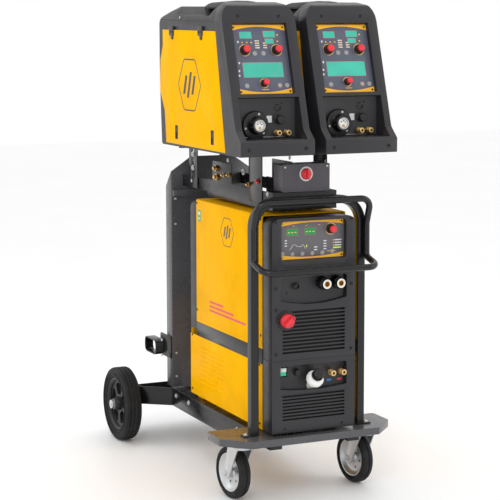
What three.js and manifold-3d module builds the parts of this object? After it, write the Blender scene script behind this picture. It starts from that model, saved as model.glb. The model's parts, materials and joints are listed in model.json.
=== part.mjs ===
// Twin-feeder MIG welder on its cart: a power source on top of a water cooler, carried by a trolley with
// two rear wheels and two front casters, and two wire feeders side by side on a rack above.
// Millimetres. +X is the operator's right, +Y runs from the front to the rear, +Z is up from the floor.
import * as THREE from "three";
import { mergeVertices } from "three/addons/utils/BufferGeometryUtils.js";
import Module from "manifold-3d";

const wasm = await Module();
wasm.setup();

// ---- Stock and clearances -------------------------------------------------------------------------
const gap = 0.3; // between pieces that touch
const runGap = 1; // round a piece that turns
const sheet = 3; // folded steel sheet
const wall = 4; // moulded plastic wall
const reach = 60; // how far a cutting tool runs past the piece it cuts

// ---- Facets ---------------------------------------------------------------------------------------
const cornerSteps = 4; // in a rounded corner
const wheelSides = 24;
const knobSides = 14;
const tubeSides = 8;

// ---- Trolley --------------------------------------------------------------------------------------
const platform = {
  top: 203, lip: 22, front: -21, rear: 150, halfWidth: 286, noseHalfWidth: 214, chamferEnd: 52, corner: 10,
};
const rail = {
  outer: 150, width: 40, height: 62, shallowHeight: 31, front: -10, deepStart: 148, deepFull: 172,
  rear: 774,
};
const column = {
  front: 771, depth: 49, halfWidth: 148, shoulderAbove: 74, topAbove: 123, topHalfWidth: 75, flangeAbove: 22,
};
const crossbar = { below: 9, height: 20, depth: 15 };
const tray = {
  halfWidth: 239, shoulder: 840, crossWall: 878, rear: 1045, height: 61, lipHeight: 14, slopeStart: 892,
};
const rearAxle = { y: 922, z: 125, radius: 10, bossRadius: 15, half: 318, nutLength: 11 };
const rearWheel = {
  radius: 125, width: 60, centre: 276, tyreInner: 92, hubRadius: 24, web: 8, flangeSetback: 8,
  seatDepth: 12,
  shoulderDrop: 9, crown: 12, bead: 5,
};
const axleEar = { outer: 236, thick: 12, half: 22, below: 17 };
const hoop = {
  outer: 190.5, tubeWidth: 25, tubeDepth: 30, front: 33, above: 53, bend: 85, wall: 2,
  footOut: 24, footThick: 4,
};
const loop = {
  radius: 10, halfWidth: 188, topY: -5, topBelow: 9, lowY: -55, lowBelow: 210, joinTopBelow: 87,
  joinLowBelow: 188, bend: 34, smallBend: 18,
};
const hook = {
  low: 297, high: 373, front: 775, rear: 854, loopRear: 955, loopHigh: 350, stripWidth: 26, stripThick: 4,
  bend: 18,
};
const caster = {
  x: 208, y: 68, trail: 48, radius: 80, width: 40, tyreInner: 60, turned: 7, forkInner: 24, forkThick: 4,
  axleRadius: 6, hubRadius: 15, web: 8, earRadius: 15, crownRadius: 38, crownClear: 5, crownThick: 7,
  plateX: 92, plateY: 76, plateThick: 6, raceRadius: 33, raceClear: 1.5, pinRadius: 7, neckHalf: 26,
  neckFlare: 6,
  axleProud: 6, seatDepth: 7, flangeSetback: 4, crown: 8, bead: 3, shoulderDrop: 7,
};

// ---- Cabinet: cooler below, power source above ------------------------------------------------------
const cabinet = {
  halfWidth: 140, bezelHalfWidth: 138.7, foot: 9, frontDepth: 67, coverLength: 508, rearDepth: 52,
  bezelWall: 4,
};
const coolerHeight = 219.5;
const bandBelow = 18.5; // the dark band reaches this far below the joint of the two units
const bandAbove = 27.5; // and this far above it
const powerHeight = 430.5; // to the top of the yellow cover
const bezelDrop = 5; // the bezels stop short of the cover's top
const bezelCorner = 25;
const footPad = { inset: 16, width: 26, length: 44, setback: 24 };
const controlRecess = { halfWidth: 108, height: 118, belowTop: 9, depth: 20, corner: 10 };
const controlPlate = 3;
const encoder = { x: 63, belowTop: 30, radius: 15.5, capRadius: 10.5, height: 22, step: 9 };
const socketRecess = { halfWidth: 110, belowTop: 175, height: 70, sag: 15, depth: 22, corner: 8 };
const socket = {
  xs: [35, 82], drop: 26, radius: 19, length: 40, collar: 15, collarLength: 8, bore: 7, boreDepth: 26,
};
const powerGrille = { halfWidth: 104, bottom: 21, slots: 12, pitch: 11, slotHeight: 6 };
const mainSwitch = {
  x: -93, height: 122, baseRadius: 30, baseThick: 6, radius: 21.5, depth: 26, grip: 11, travelGap: 0.6,
};
const coolerRecess = { halfWidth: 111, belowTop: 16, height: 70, sag: 8, depth: 22, corner: 8 };
const coolerGrille = { halfWidth: 104, bottom: 38, slots: 8, pitch: 10, slotHeight: 5 };
const rocker = {
  x: -92, belowTop: 37.5, halfWidth: 10, halfHeight: 13, crown: 7, depth: 7, tilt: 6, play: 1.6,
};
const filler = {
  neckRadius: 13, capRadius: 18, capLength: 20, rise: 39, start: 138, capY: -22, capBelowTop: 48, step: 5,
  bore: 8,
};
const tank = {
  halfWidth: 100, front: 78, length: 210, bottomGap: 8, height: 170, supportInset: 30, supportLength: 20,
};
const pump = {
  x: 55, rear: 540, length: 190, radius: 42, headRadius: 32, headLength: 60, shoulder: 6, footHeight: 6,
};
const powerModule = {
  halfWidth: 112, front: 90, length: 390, plate: 10, fins: 7, finThick: 5, finHeight: 150, chokeRadius: 45,
  chokeHeight: 110,
};
const fan = { z: 190, radius: 72, hubRadius: 24, depth: 22, blades: 5, bladeThick: 3, pitch: 35, inset: 8 };
const rearGrille = { halfWidth: 78, slots: 12, pitch: 13, slotHeight: 7 };
const gland = { x: -82, height: 62, radius: 15, length: 18, bore: 8 };

// ---- Feeder rack ------------------------------------------------------------------------------------
const rack = {
  halfWidth: 107, clearance: 11, baseHeight: 55, baseLength: 496, footLow: 14, footHeight: 38, footLap: 10,
  uprightFront: 635, uprightLength: 71, stayFront: 132, stayLength: 90, shelfHalfWidth: 150, shelfFront: 75,
  shelfWide: 590, shelfTaper: 30, shelfGap: 112, shelfThick: 4, slotHalf: 5, slotLength: 40, slotInset: 8,
};
const hosePlate = { front: 365, length: 150, height: 62, overlap: 12, thick: 4 };
const switchBox = { halfWidth: 79, front: 55, depth: 60, height: 83, corner: 4 };
const selector = { belowTop: 30, radius: 13, base: 17, height: 20, grip: 8, travelGap: 0.5 };

// ---- Wire feeders -------------------------------------------------------------------------------------
const feeder = {
  offset: 137.5, halfWidth: 119, sideInset: 3, rest: 5, aroundSpool: 155, roofBend: 62, footRadius: 14,
  footX: 95, footYs: [130, 450],
};
const drive = {
  y: 176, z: 105, plateThick: 8, halfLength: 56, halfHeight: 62, rollRadius: 16, rollWidth: 24, rollX: 25,
  rollZ: 21, motorRadius: 29, motorLength: 78, guide: 7,
};
const spool = {
  ahead: 20, under: 35, radius: 148, hubRadius: 52, flange: 3, width: 96, near: 8, bore: 27, mandrel: 25,
};
const spoolY = drive.y + drive.halfLength + spool.ahead + spool.radius;
const spoolZ = spool.under + spool.radius;
const spoolRear = spoolY + spool.radius;
const feederHeight = 2 * spool.radius + feeder.aroundSpool;
const sideShape = {
  footRear: spoolRear + 35, bulge: spoolRear + 48, waist: spoolRear + 51, bulgeHeight: 170,
  waistHeight: feederHeight - 174, capHeight: feederHeight - 53, roofRear: spoolY + 21, roofFront: 213,
  footCorner: 10, sideBend: 80, capCorner: 22, roofBend: 200, bezelStep: 4,
};
const doorShape = {
  margin: 1, bottom: 6, bottomRear: 8, lowRear: spoolRear - 10, lowHeight: 110, lowEdge: spoolRear + 2,
  bulge: spoolRear + 41, bulgeHeight: 172, waist: spoolRear + 35, waistHeight: feederHeight - 181,
  neck: spoolRear + 15, neckHeight: feederHeight - 137, top: feederHeight - 91, topRear: feederHeight - 87,
};
const face = { // the leaning front: height of its foot, place, and slope
  foot: 87, y: 0, run: 90, rise: 294,
};
const joint = { bottom: 68.6, slope: 0.2 }; // where the front bezel meets the housing
const bumper = { front: -40, top: 43, knee: 75, browDrop: 14, browBend: 12, kneeBend: 25, corner: 8 };
const faceLength = (feederHeight - bumper.browDrop - face.foot) * Math.hypot(1, face.run / face.rise);
const displayRecess = { from: 96, to: faceLength - 55, halfWidth: 88, depth: 17, plate: 2.7, edge: 1 };
const lowerRecess = { halfWidth: 98, bottom: 47, top: 168, back: 52 };
const bezelHollow = {
  halfWidth: 108, low: 12, frontY: 57, behind: displayRecess.depth + 7, to: displayRecess.to + 11,
  high: feederHeight - 56,
};
const feederKnobs = [
  { name: "left_knob", x: -51.6, s: 231.5, radius: 15.5, cap: 10.5 },
  { name: "right_knob", x: 51.6, s: 231.5, radius: 15.5, cap: 10.5 },
  { name: "lower_knob", x: -2, s: 131, radius: 12, cap: 8.5 },
];
const feederKnob = { height: 22, step: 9 };
const door = {
  thick: 3, hingeRadius: 3.6, hingeDrop: 3, hingeYs: [254, spoolY + 86], hingeLength: 34, leafLength: 24,
  slotWidth: 23, slotHeight: 44, slotZ: 45, slotYs: [166, spoolY + 50],
};
const bay = { inset: 12, divider: 18, dividerThick: 6 };
const electronics = { inset: 11, side: 5, high: feederHeight - 99, wall: 13 };
const roofHollow = { low: feederHeight - 89, high: feederHeight - 56, side: 14, rear: spoolRear + 18 };
const handle = {
  half: 17, scoopBend: 30, gripBend: 10, scoopFront: 150, scoopRear: spoolRear - 70,
  scoopLow: feederHeight - 47, gripLow: feederHeight - 46, gripHigh: feederHeight - 22, gripFront: 196,
  gripRear: spoolRear - 118,
};

// ---- Finishes: colour, roughness, metalness -----------------------------------------------------------
const finishes = {
  blackPaint: [0x242326, 0.45, 0.3],
  yellowPaint: [0xf2b600, 0.35, 0.1],
  blackPlastic: [0x3c3a3e, 0.6, 0],
  panelGrey: [0x5a5c69, 0.5, 0],
  redPlastic: [0xd8303a, 0.35, 0],
  tyreRubber: [0x1c1c1d, 0.85, 0],
  zinc: [0xb9bcc0, 0.35, 0.9],
  whitePlastic: [0xe9e9e4, 0.4, 0],
  greenPlastic: [0x39a04c, 0.35, 0],
  boxGrey: [0x646167, 0.5, 0.2],
  aluminium: [0xa9abad, 0.4, 0.9],
  spoolPlastic: [0x2a2a2a, 0.5, 0],
};

function finish(name) {
  const [color, roughness, metalness] = finishes[name];
  return new THREE.MeshStandardMaterial({ color, roughness, metalness });
}

// ---- Solids -------------------------------------------------------------------------------------------

// A three.js geometry as a manifold solid, after an optional placement.
function solid(geometry, matrix) {
  const bare = geometry.index ? geometry.toNonIndexed() : geometry.clone();
  bare.deleteAttribute("normal");
  bare.deleteAttribute("uv");
  if (matrix) bare.applyMatrix4(matrix);
  const merged = mergeVertices(bare, 1e-3);
  const vertProperties = new Float32Array(merged.attributes.position.array);
  return new wasm.Manifold(new wasm.Mesh({ numProp: 3, vertProperties,
    triVerts: new Uint32Array(merged.index.array) }));
}

// A manifold solid as a three.js geometry with flat faces.
function geometryOf(made) {
  const mesh = made.getMesh();
  const shared = new THREE.BufferGeometry();
  shared.setAttribute("position", new THREE.BufferAttribute(new Float32Array(mesh.vertProperties), 3));
  shared.setIndex(new THREE.BufferAttribute(new Uint32Array(mesh.triVerts), 1));
  const flat = shared.toNonIndexed();
  flat.computeVertexNormals();
  return flat;
}

const join = (first, ...others) => others.reduce((whole, piece) => whole.add(piece), first);
const cut = (first, ...tools) => tools.reduce((whole, tool) => whole.subtract(tool), first);

// A box between two corners, given as ranges along X, Y and Z.
function block([x0, x1], [y0, y1], [z0, z1]) {
  const place = new THREE.Matrix4().makeTranslation((x0 + x1) / 2, (y0 + y1) / 2, (z0 + z1) / 2);
  return solid(new THREE.BoxGeometry(x1 - x0, y1 - y0, z1 - z0), place);
}

// Corner points [u, v] or [u, v, radius] turned into an outline whose corners with a radius are arcs.
function rounded(corners, steps = cornerSteps) {
  const outline = [];
  corners.forEach(([u, v, radius], i) => {
    const here = new THREE.Vector2(u, v);
    if (!radius) {
      outline.push(here);
      return;
    }
    const last = corners[(i + corners.length - 1) % corners.length];
    const next = corners[(i + 1) % corners.length];
    const back = new THREE.Vector2(last[0], last[1]).sub(here);
    const ahead = new THREE.Vector2(next[0], next[1]).sub(here);
    const half = Math.acos(back.clone().normalize().dot(ahead.clone().normalize())) / 2;
    const run = Math.min(radius / Math.tan(half), back.length() / 2, ahead.length() / 2);
    const fit = run * Math.tan(half);
    const start = here.clone().addScaledVector(back.normalize(), run);
    const end = here.clone().addScaledVector(ahead.normalize(), run);
    const centre = here.clone().addScaledVector(back.add(ahead).normalize(), Math.hypot(run, fit));
    const from = start.clone().sub(centre).angle();
    const to = end.clone().sub(centre).angle();
    const turn = THREE.MathUtils.euclideanModulo(to - from + Math.PI, 2 * Math.PI) - Math.PI;
    for (let step = 0; step <= steps; step++) {
      const angle = from + (turn * step) / steps;
      outline.push(new THREE.Vector2(Math.cos(angle), Math.sin(angle)).multiplyScalar(fit).add(centre));
    }
  });
  return outline;
}

// An outline moved inwards by a distance, as corner points again; a negative distance moves it outwards.
function inset(corners, distance) {
  const area = corners.reduce((sum, [u, v], i) => {
    const [nu, nv] = corners[(i + 1) % corners.length];
    return sum + u * nv - nu * v;
  }, 0);
  const side = Math.sign(area) * distance;
  return corners.map(([u, v, radius], i) => {
    const [pu, pv] = corners[(i + corners.length - 1) % corners.length];
    const [nu, nv] = corners[(i + 1) % corners.length];
    const before = new THREE.Vector2(u - pu, v - pv).normalize();
    const after = new THREE.Vector2(nu - u, nv - v).normalize();
    const bend = 1 + before.dot(after);
    const shift = new THREE.Vector2(-before.y - after.y, before.x + after.x).multiplyScalar(side / bend);
    return radius ? [u + shift.x, v + shift.y, Math.max(radius - distance, 1)] : [u + shift.x, v + shift.y];
  });
}

const extrudeAlong = {
  x: ([from]) => new THREE.Matrix4().makeBasis(new THREE.Vector3(0, 1, 0), new THREE.Vector3(0, 0, 1),
    new THREE.Vector3(1, 0, 0)).setPosition(from, 0, 0),
  y: ([, to]) => new THREE.Matrix4().makeBasis(new THREE.Vector3(1, 0, 0), new THREE.Vector3(0, 0, 1),
    new THREE.Vector3(0, -1, 0)).setPosition(0, to, 0),
  z: ([from]) => new THREE.Matrix4().makeTranslation(0, 0, from),
};

// A prism along an axis over a range. Corner points are (y, z) along X, (x, z) along Y and (x, y) along Z.
function prism(axis, range, corners, steps) {
  const shape = new THREE.Shape(rounded(corners, steps));
  const geometry = new THREE.ExtrudeGeometry(shape,
    { depth: range[1] - range[0], steps: 1, bevelEnabled: false });
  return solid(geometry, extrudeAlong[axis](range));
}

const rectangle = ([u0, u1], [v0, v1], radius) => [[u0, v0, radius], [u1, v0, radius], [u1, v1, radius],
  [u0, v1, radius]];

// A body turned about an axis from centre; the profile is [radius, distance along the axis] points that
// start and end on the axis, or close on themselves when closed is set.
function turned(profile, { at = [0, 0, 0], along = [0, 1, 0], sides = knobSides, closed = false } = {}) {
  const points = profile.map(([radius, distance]) => new THREE.Vector2(radius, distance));
  if (closed) points.push(points[0].clone());
  const turn = new THREE.Quaternion().setFromUnitVectors(new THREE.Vector3(0, 1, 0),
    new THREE.Vector3(...along).normalize());
  const place = new THREE.Matrix4().compose(new THREE.Vector3(...at), turn, new THREE.Vector3(1, 1, 1));
  const made = solid(new THREE.LatheGeometry(points, sides), place);
  return made.volume() < 0 ? turned([...profile].reverse(), { at, along, sides, closed }) : made;
}

// A plain round bar from a point along a direction.
const bar = (radius, length, at, along, sides = knobSides) =>
  turned([[0, 0], [radius, 0], [radius, length], [0, length]], { at, along, sides });

// A round tube along straight runs with rounded bends; corner points are [x, y, z, bend radius].
function bentTube(corners, radius, sides = tubeSides, bendSteps = 4) {
  const path = new THREE.CurvePath();
  let last = new THREE.Vector3(...corners[0].slice(0, 3));
  for (let i = 1; i < corners.length - 1; i++) {
    const here = new THREE.Vector3(...corners[i].slice(0, 3));
    const back = new THREE.Vector3(...corners[i - 1].slice(0, 3)).sub(here);
    const ahead = new THREE.Vector3(...corners[i + 1].slice(0, 3)).sub(here);
    const half = back.angleTo(ahead) / 2;
    const run = Math.min(corners[i][3] / Math.tan(half), back.length() * 0.49, ahead.length() * 0.49);
    const start = here.clone().addScaledVector(back.normalize(), run);
    const end = here.clone().addScaledVector(ahead.normalize(), run);
    path.add(new THREE.LineCurve3(last, start));
    path.add(new THREE.QuadraticBezierCurve3(start, here, end));
    last = end;
  }
  path.add(new THREE.LineCurve3(last, new THREE.Vector3(...corners.at(-1).slice(0, 3))));
  const stops = [];
  path.curves.forEach((curve, i) => {
    const count = curve.isLineCurve3 ? 1 : bendSteps;
    for (let step = i === 0 ? 0 : 1; step <= count; step++) stops.push(curve.getPoint(step / count));
  });
  const route = new THREE.CurvePath();
  for (let i = 1; i < stops.length; i++) route.add(new THREE.LineCurve3(stops[i - 1], stops[i]));
  const parts = stops.length - 1;
  route.getPointAt = (t) => stops[Math.round(t * parts)].clone();
  route.getSpacedPoints = () => stops.map((stop) => stop.clone());
  route.getTangentAt = (t) => {
    const i = Math.round(t * parts);
    return stops[Math.min(i + 1, parts)].clone().sub(stops[Math.max(i - 1, 0)]).normalize();
  };
  const section = new THREE.Shape();
  for (let i = 0; i < sides; i++) {
    const angle = (2 * Math.PI * (i + 0.5)) / sides;
    const [u, v] = [radius * Math.cos(angle), radius * Math.sin(angle)];
    if (i === 0) section.moveTo(u, v);
    else section.lineTo(u, v);
  }
  return solid(new THREE.ExtrudeGeometry(section, { steps: parts, extrudePath: route }));
}

// ---- Assembly -----------------------------------------------------------------------------------------
const machine = new THREE.Group();

function add(name, made, finishName) {
  const mesh = new THREE.Mesh(geometryOf(made), finish(finishName));
  mesh.name = name;
  machine.add(mesh);
}

const sides = { left: -1, right: 1 };
const mirrored = (corners) => [...corners, ...corners.map(([x, y, r]) => [-x, y, r]).reverse()];

// ---- Trolley pieces -----------------------------------------------------------------------------------
const platformBottom = platform.top - platform.lip;
const railTop = platform.top - wall - gap;
const railInner = rail.outer - rail.width;
const trayTop = railTop - 2;
const trayFloor = trayTop - tray.height;
const coolerBottom = platform.top + cabinet.foot;
const unitJoint = coolerBottom + coolerHeight;
const coverTop = unitJoint + powerHeight;
const hoopTop = coverTop + hoop.above;
const columnTop = coverTop + column.topAbove;
const columnShoulder = coverTop + column.shoulderAbove;

function frontPlatform() {
  const outline = mirrored([
    [platform.halfWidth, platform.rear, platform.corner],
    [platform.halfWidth, platform.chamferEnd, platform.corner],
    [platform.noseHalfWidth, platform.front, platform.corner],
  ]);
  const pan = prism("z", [platformBottom, platform.top], outline, 3);
  const pocket = prism("z", [platformBottom - reach, platform.top - wall], inset(outline, wall), 3);
  const notches = Object.values(sides).map((side) => {
    const xs = [side * (railInner - gap), side * (rail.outer + gap)].sort((a, b) => a - b);
    return block(xs, [platform.rear - 2 * wall, platform.rear + reach],
      [platformBottom - reach, platform.top - wall]);
  });
  add("front_platform", cut(pan, pocket, ...notches), "blackPaint");
}

// A channel open towards the middle; shallow under the platform so that the casters swing clear of it.
function sideRail(side) {
  const outline = [
    [rail.front, railTop], [rail.front, railTop - rail.shallowHeight],
    [rail.deepStart, railTop - rail.shallowHeight],
    [rail.deepFull, railTop - rail.height], [rail.rear, railTop - rail.height], [rail.rear, railTop],
  ];
  const outside = [side * railInner, side * rail.outer].sort((a, b) => a - b);
  const inside = [side * (railInner - reach), side * (rail.outer - sheet)].sort((a, b) => a - b);
  return cut(prism("x", outside, outline), prism("x", inside, inset(outline, sheet)));
}

function rearColumn() {
  const bottom = railTop + gap;
  const back = column.front + column.depth;
  const inner = column.front + sheet;
  const panel = prism("y", [column.front, inner], [
    [-column.halfWidth, bottom], [column.halfWidth, bottom], [column.halfWidth, columnShoulder],
    [column.topHalfWidth, columnTop], [-column.topHalfWidth, columnTop],
    [-column.halfWidth, columnShoulder],
  ]);
  const flanges = Object.values(sides).map((side) => {
    const xs = [side * column.halfWidth, side * (column.halfWidth - sheet)].sort((a, b) => a - b);
    return prism("x", xs, [
      [column.front, bottom], [back, bottom], [back, coverTop + column.flangeAbove], [inner, columnShoulder],
      [column.front, columnShoulder],
    ]);
  });
  const bandX = [-column.halfWidth + sheet, column.halfWidth - sheet];
  const band = block(bandX, [column.front - crossbar.depth, inner],
    [coverTop - crossbar.below, coverTop - crossbar.below + crossbar.height]);
  add("rear_column", join(panel, ...flanges, band), "blackPaint");
}

function bottleTray() {
  const front = rail.rear + gap;
  const outline = mirrored([[rail.outer, front], [tray.halfWidth, tray.shoulder],
    [tray.halfWidth, tray.rear]]);
  const inner = inset(outline, sheet);
  const rearInner = tray.rear - sheet;
  const pan = prism("z", [trayFloor, trayTop], outline);
  const within = prism("z", [trayFloor + sheet, trayTop + reach], inner);
  const acrossX = [-tray.halfWidth - reach, tray.halfWidth + reach];
  const crossWall = block([-tray.halfWidth + 1, tray.halfWidth - 1],
    [tray.crossWall - sheet, tray.crossWall], [trayFloor + 1, trayTop]);
  const slope = prism("x", acrossX, [
    [tray.slopeStart, trayTop + reach], [tray.slopeStart, trayTop], [rearInner, trayFloor + tray.lipHeight],
    [tray.rear + reach, trayFloor + tray.lipHeight], [tray.rear + reach, trayTop + reach],
  ]);
  const ears = Object.values(sides).map((side) => {
    const xs = [side * axleEar.outer, side * (axleEar.outer - axleEar.thick)].sort((a, b) => a - b);
    return block(xs, [rearAxle.y - axleEar.half, rearAxle.y + axleEar.half],
      [rearAxle.z - axleEar.below, trayFloor + 1]);
  });
  const bore = bar(rearAxle.radius + gap, 2 * rearAxle.half, [-rearAxle.half, rearAxle.y, rearAxle.z],
    [1, 0, 0], wheelSides);
  const hollowed = cut(pan, within);
  add("bottle_tray", cut(join(hollowed, crossWall, ...ears), slope, bore), "blackPaint");
}

function rearAxleAndWheels() {
  const nutFrom = rearAxle.half - rearAxle.nutLength;
  const half = [
    [rearAxle.bossRadius, rearAxle.half], [rearAxle.bossRadius, nutFrom], [rearAxle.radius, nutFrom],
  ];
  const profile = [[0, rearAxle.half], ...half, ...half.map(([r, x]) => [r, -x]).reverse(),
    [0, -rearAxle.half]];
  add("rear_axle", turned(profile, { at: [0, rearAxle.y, rearAxle.z], along: [1, 0, 0],
    sides: wheelSides }), "zinc");
  const rimOuter = rearWheel.tyreInner - gap;
  const halfTyre = rearWheel.width / 2;
  const bore = rearAxle.radius + 2 * gap;
  const hubHalf = nutFrom - gap - rearWheel.centre;
  const flange = halfTyre - rearWheel.flangeSetback;
  const seat = rimOuter - rearWheel.seatDepth;
  for (const [word, side] of Object.entries(sides)) {
    const placed = { at: [side * rearWheel.centre, rearAxle.y, rearAxle.z], along: [side, 0, 0],
      sides: wheelSides, closed: true };
    const rim = turned([
      [bore, -hubHalf], [rearWheel.hubRadius, -hubHalf], [rearWheel.hubRadius, -rearWheel.web / 2],
      [seat, -rearWheel.web / 2], [seat, -flange], [rimOuter, -flange], [rimOuter, flange], [seat, flange],
      [seat, rearWheel.web / 2], [rearWheel.hubRadius, rearWheel.web / 2], [rearWheel.hubRadius, hubHalf],
      [bore, hubHalf],
    ], placed);
    add(`rear_rim_${word}`, rim, "blackPaint");
    const shoulder = rearWheel.radius - rearWheel.shoulderDrop;
    const tread = halfTyre - rearWheel.crown;
    const wallHalf = halfTyre - rearWheel.bead;
    const tyre = turned([
      [rearWheel.tyreInner, -wallHalf], [shoulder, -halfTyre], [rearWheel.radius - 2, -tread - 4],
      [rearWheel.radius, -tread], [rearWheel.radius, tread], [rearWheel.radius - 2, tread + 4],
      [shoulder, halfTyre],
      [rearWheel.tyreInner, wallHalf],
    ], placed);
    add(`rear_tyre_${word}`, tyre, "tyreRubber");
  }
}

// The inverted-U frame in front; its tube is open at the feet.
function frontHoop() {
  const foot = platform.top + gap;
  const rear = hoop.front + hoop.tubeDepth;
  const arch = (half, top, bend) => [[-half, foot - reach], [half, foot - reach], [half, top, bend],
    [-half, top, bend]];
  const tube = (shrink, ys) => cut(
    prism("y", ys, arch(hoop.outer - shrink, hoopTop - shrink, hoop.bend - shrink), 6),
    prism("y", [ys[0] - 1, ys[1] + 1], arch(hoop.outer - hoop.tubeWidth + shrink,
      hoopTop - hoop.tubeWidth + shrink,
      hoop.bend - hoop.tubeWidth + shrink), 6),
  );
  const floor = block([-hoop.outer - reach, hoop.outer + reach], [hoop.front - reach, rear + reach],
    [foot - 2 * reach, foot]);
  const feet = Object.values(sides).map((side) => {
    const xs = [side * (hoop.outer - hoop.tubeWidth),
      side * (hoop.outer + hoop.footOut)].sort((a, b) => a - b);
    return block(xs, [hoop.front, rear], [foot, foot + hoop.footThick]);
  });
  const solidHoop = join(cut(tube(0, [hoop.front, rear]), floor), ...feet);
  add("front_hoop", cut(solidHoop, tube(hoop.wall, [hoop.front + hoop.wall, rear - hoop.wall])),
    "blackPaint");
}

// The closed push handle: one bar at the top, one lower and further forward, both reaching back to the hoop.
function handleLoop() {
  const backY = hoop.front - loop.radius - gap;
  const lap = 4;
  const half = (side) => bentTube([
    [-side * lap, loop.topY, hoopTop - loop.topBelow, 0],
    [side * loop.halfWidth, loop.topY, hoopTop - loop.topBelow, loop.bend],
    [side * loop.halfWidth, backY, hoopTop - loop.joinTopBelow, loop.smallBend],
    [side * loop.halfWidth, backY, hoopTop - loop.joinLowBelow, loop.smallBend],
    [side * loop.halfWidth, loop.lowY, hoopTop - loop.lowBelow, loop.bend],
    [-side * lap, loop.lowY, hoopTop - loop.lowBelow, 0],
  ], loop.radius);
  add("handle_loop", join(half(sides.left), half(sides.right)), "blackPaint");
}

function hoseHook() {
  const plateInner = -column.halfWidth - gap;
  const plateOuter = plateInner - hook.stripThick;
  const plate = prism("x", [plateOuter, plateInner],
    rectangle([hook.front, hook.rear + hook.bend], [hook.low, hook.high], 6), 3);
  const ring = rectangle([hook.rear - hook.stripThick, hook.loopRear], [hook.low, hook.loopHigh],
    hook.bend);
  const loopX = [plateOuter - hook.stripWidth, plateInner];
  const strip = cut(prism("x", loopX, ring),
    prism("x", [loopX[0] - 1, loopX[1] + 1], inset(ring, hook.stripThick)));
  const clearLoop = prism("x", [plateOuter - 1, plateInner + 1], inset(ring, hook.stripThick));
  add("hose_hook", cut(join(plate, strip), clearLoop), "blackPaint");
}

// One caster: a plate under the platform, a turning fork that carries its own axle, and the wheel.
function casterSet(word, side) {
  const swivel = new THREE.Matrix4().makeTranslation(side * caster.x, caster.y, 0)
    .multiply(new THREE.Matrix4().makeRotationZ(THREE.MathUtils.degToRad(caster.turned)));
  const turnedSolid = (made) => solid(geometryOf(made), swivel);
  const plateTop = platform.top - wall - gap;
  const plateBottom = plateTop - caster.plateThick;
  const crownBottom = 2 * caster.radius + caster.crownClear;
  const crownTop = crownBottom + caster.crownThick;
  const raceBottom = crownTop + caster.raceClear;
  const [x, y] = [side * caster.x, caster.y];
  const pinTop = plateBottom + 1;
  const plate = join(
    block([x - caster.plateX / 2, x + caster.plateX / 2], [y - caster.plateY / 2, y + caster.plateY / 2],
      [plateBottom, plateTop]),
    bar(caster.raceRadius, plateBottom + 1 - raceBottom, [x, y, raceBottom], [0, 0, 1], wheelSides),
  );
  const well = bar(caster.pinRadius + gap, pinTop + 1 - raceBottom + reach, [x, y, raceBottom - reach],
    [0, 0, 1], knobSides);
  add(`caster_plate_${word}`, cut(plate, well), "zinc");

  const legOuter = caster.forkInner + caster.forkThick;
  const ear = caster.earRadius;
  const legOutline = [
    [caster.trail - ear, caster.radius - ear, ear - 1], [caster.trail + ear, caster.radius - ear, ear - 1],
    [caster.neckHalf + caster.neckFlare, crownTop], [-caster.neckHalf, crownTop],
  ];
  const legs = Object.values(sides).map((way) =>
    prism("x", [way * caster.forkInner, way * legOuter].sort((a, b) => a - b), legOutline, 4));
  const crown = bar(caster.crownRadius, caster.crownThick, [0, 0, crownBottom], [0, 0, 1], wheelSides);
  const pin = bar(caster.pinRadius, pinTop - crownTop, [0, 0, crownTop - 0.5], [0, 0, 1], knobSides);
  const axleHalf = legOuter + caster.axleProud;
  const axle = bar(caster.axleRadius, 2 * axleHalf, [-axleHalf, caster.trail, caster.radius], [1, 0, 0]);
  add(`caster_fork_${word}`, turnedSolid(join(crown, ...legs, pin, axle)), "zinc");

  const bore = caster.axleRadius + 2 * gap;
  const rimOuter = caster.tyreInner - gap;
  const seat = rimOuter - caster.seatDepth;
  const flange = caster.width / 2 - caster.flangeSetback;
  const hubHalf = caster.forkInner - runGap;
  const placed = { at: [0, caster.trail, caster.radius], along: [1, 0, 0], sides: wheelSides,
    closed: true };
  add(`caster_rim_${word}`, turnedSolid(turned([
    [bore, -hubHalf], [caster.hubRadius, -hubHalf], [caster.hubRadius, -caster.web / 2],
    [seat, -caster.web / 2],
    [seat, -flange], [rimOuter, -flange], [rimOuter, flange], [seat, flange], [seat, caster.web / 2],
    [caster.hubRadius, caster.web / 2], [caster.hubRadius, hubHalf], [bore, hubHalf],
  ], placed)), "zinc");
  const half = caster.width / 2;
  const tread = half - caster.crown;
  const wallHalf = half - caster.bead;
  const shoulder = caster.radius - caster.shoulderDrop;
  add(`caster_tyre_${word}`, turnedSolid(turned([
    [caster.tyreInner, -wallHalf], [shoulder, -half], [caster.radius, -tread], [caster.radius, tread],
    [shoulder, half], [caster.tyreInner, wallHalf],
  ], placed)), "tyreRubber");
}

// ---- Cabinet pieces -----------------------------------------------------------------------------------
const bezelTop = coverTop - bezelDrop;
const coverFront = cabinet.frontDepth;
const coverRear = coverFront + cabinet.coverLength;
const cabinetRear = coverRear + cabinet.rearDepth;
const cabinetX = [-cabinet.halfWidth, cabinet.halfWidth];
const innerX = [-cabinet.halfWidth + sheet, cabinet.halfWidth - sheet];

// Equal horizontal slots, stacked upwards from a height, through a wall at a range of Y.
function slots(count, pitch, height, halfWidth, from, ys) {
  return Array.from({ length: count }, (_, i) => {
    const z = from + i * pitch;
    return block([-halfWidth, halfWidth], ys, [z, z + height]);
  });
}

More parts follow.
